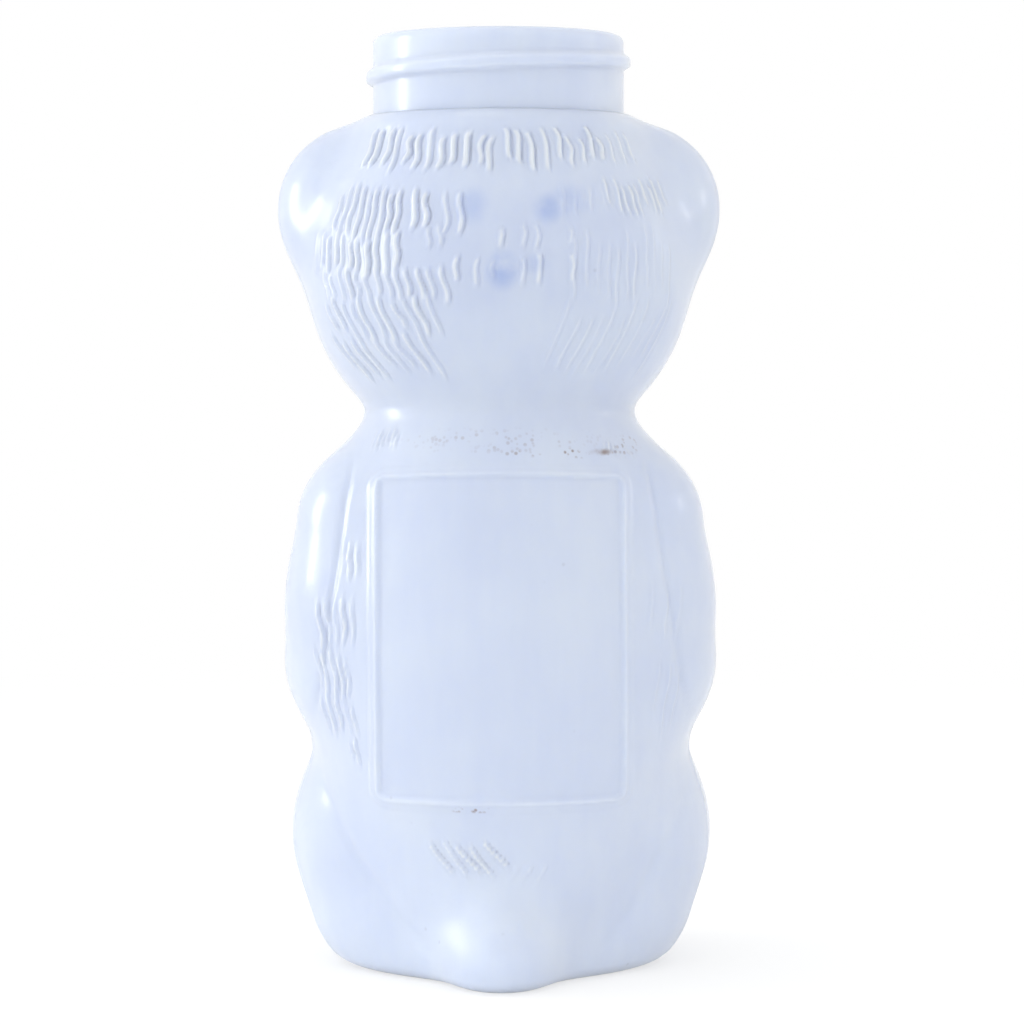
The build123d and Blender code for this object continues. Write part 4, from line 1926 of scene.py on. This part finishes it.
@dataclass(frozen=True)
class Studio:
    """Paper floor, soft lamps, a pale world and the camera behind the bear.

    Shares are how much the world's light changes from side to side, towards both sides and
    upwards. Sizes and places are millimetres, and the roll is degrees.
    """

    paper: StudioPaper = StudioPaper()
    floor_size: float = 6000.0
    ambient: float = 1.20
    right_tint: tuple[float, float, float, float] = (1.0, 0.985, 0.96, 1.0)
    left_tint: tuple[float, float, float, float] = (0.95, 0.975, 1.0, 1.0)
    side_share: float = 0.20
    edge_share: float = 0.35
    upward_share: float = 0.12
    lamps: tuple[Softbox, ...] = (
        Softbox("window", (560, -60, 200), (110, 260), 0.6, (1.0, 0.985, 0.97)),
        Softbox("fill", (-560, -50, 230), (40, 90), 0.06, (1.0, 0.99, 0.97)),
        Softbox("top", (60, 120, 640), (260, 260), 0.15),
        Softbox(
            "low", (90, 460, 70), (240, 60), 0.012, aim=(0, 0, -4), spread=24.0, mirrored=False
        ),
    )
    camera_place: tuple[float, float, float] = (0.0, 500.0, 88.4)
    camera_aim: tuple[float, float, float] = (-1.7, 0.0, 64.4)
    camera_roll: float = -0.2
    lens: float = 123.9
    sensor: float = 36.0
    nearest: float = 10.0
    furthest: float = 20000.0

    def build(self, collection: bpy.types.Collection) -> None:
        """Build the studio.

        Args:
            collection: where its objects go.
        """
        for lamp in self.lamps:
            collection.objects.link(lamp.build())
        collection.objects.link(self.floor())
        camera = self.camera()
        collection.objects.link(camera)
        bpy.context.scene.camera = camera
        self.world()

    def floor(self) -> bpy.types.Object:
        """Build the paper floor, a single wide sheet at the table's height.

        Returns:
            The floor's object.
        """
        half = self.floor_size / 2 * MM
        corners = [(-half, -half, 0), (half, -half, 0), (half, half, 0), (-half, half, 0)]
        mesh = bpy.data.meshes.new("floor")
        mesh.from_pydata(corners, [], [(0, 1, 2, 3)])
        mesh.materials.append(self.paper.build())
        floor = bpy.data.objects.new("floor", mesh)
        return floor

    def camera(self) -> bpy.types.Object:
        """Build the camera at the photograph's place and angle.

        Returns:
            The camera's object.
        """
        data = bpy.data.cameras.new("camera")
        data.sensor_width, data.lens = self.sensor, self.lens
        data.clip_start, data.clip_end = self.nearest * MM, self.furthest * MM
        camera = bpy.data.objects.new("camera", data)
        camera.location = Vector(self.camera_place) * MM
        way = (Vector(self.camera_aim) - Vector(self.camera_place)) * MM
        turn = way.to_track_quat("-Z", "Y") @ Euler((0, 0, self.camera_roll * DEG)).to_quaternion()
        camera.rotation_euler = turn.to_euler()
        return camera

    def world(self) -> None:
        """Build the world: pale light on the bottle, and white where it is seen."""
        world = bpy.data.worlds.new("studio")
        world.use_nodes = True
        tree = world.node_tree
        tree.nodes.clear()
        w = NodeWriter(tree)
        way = w.add("TexCoord").outputs["Generated"]
        split = w.add("SeparateXYZ", {0: way})
        across = split.outputs["X"]
        dim, bright = self.ambient * (1 - self.side_share), self.ambient * (1 + self.side_share)
        level = w.ramp(across, -1.0, 1.0, dim, bright)
        edge = w.math("MULTIPLY", across, across)
        level = w.math("MULTIPLY_ADD", edge, self.ambient * self.edge_share, level)
        dimming = w.ramp(split.outputs["Z"], 0.0, 1.0, 1.0, 1 - self.upward_share)
        level = w.math("MULTIPLY", level, dimming)
        share = w.ramp(across, -1.0, 1.0)
        tint = w.mix(share, self.right_tint, self.left_tint)
        soft = w.add("Background", {"Color": tint, "Strength": level})
        white = w.add("Background", {"Color": WHITE, "Strength": 1.0})
        mixed = w.add("MixShader", {0: seen_directly(w), 1: soft.outputs[0], 2: white.outputs[0]})
        w.link(mixed.outputs[0], w.add("OutputWorld"), "Surface")
        bpy.context.scene.world = world


FINISHES = (
    MilkyPlastic("bottle_skin"),
    MilkyPlastic("label_panel", roughness=0.29, ripple=0.05, grain=0.006, cloud_scale=40.0),
    MilkyPlastic("neck_finish", roughness=0.31, ripple=0.03, grain=0.004, see_through=0.26),
)


def main() -> None:
    """Build the bottle and the studio."""
    logging.basicConfig(level=logging.INFO)
    collection = bpy.context.scene.collection
    bpy.context.scene.view_settings.view_transform = "Standard"
    effects = PlasticEffects()
    studio = Studio()
    bottle = BottleShell().build()
    for finish in FINISHES:
        bottle.data.materials.append(finish.build(effects))
    collection.objects.link(bottle)
    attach(bottle, "root")
    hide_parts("bottle")
    triangles = sum(len(face.vertices) - 2 for face in bottle.data.polygons)
    log.info("bear_bottle: %d triangles", triangles)
    studio.build(collection)
    log.info("studio: a paper floor, %d lamps and a camera", len(studio.lamps))


if __name__ == "__main__":
    main()
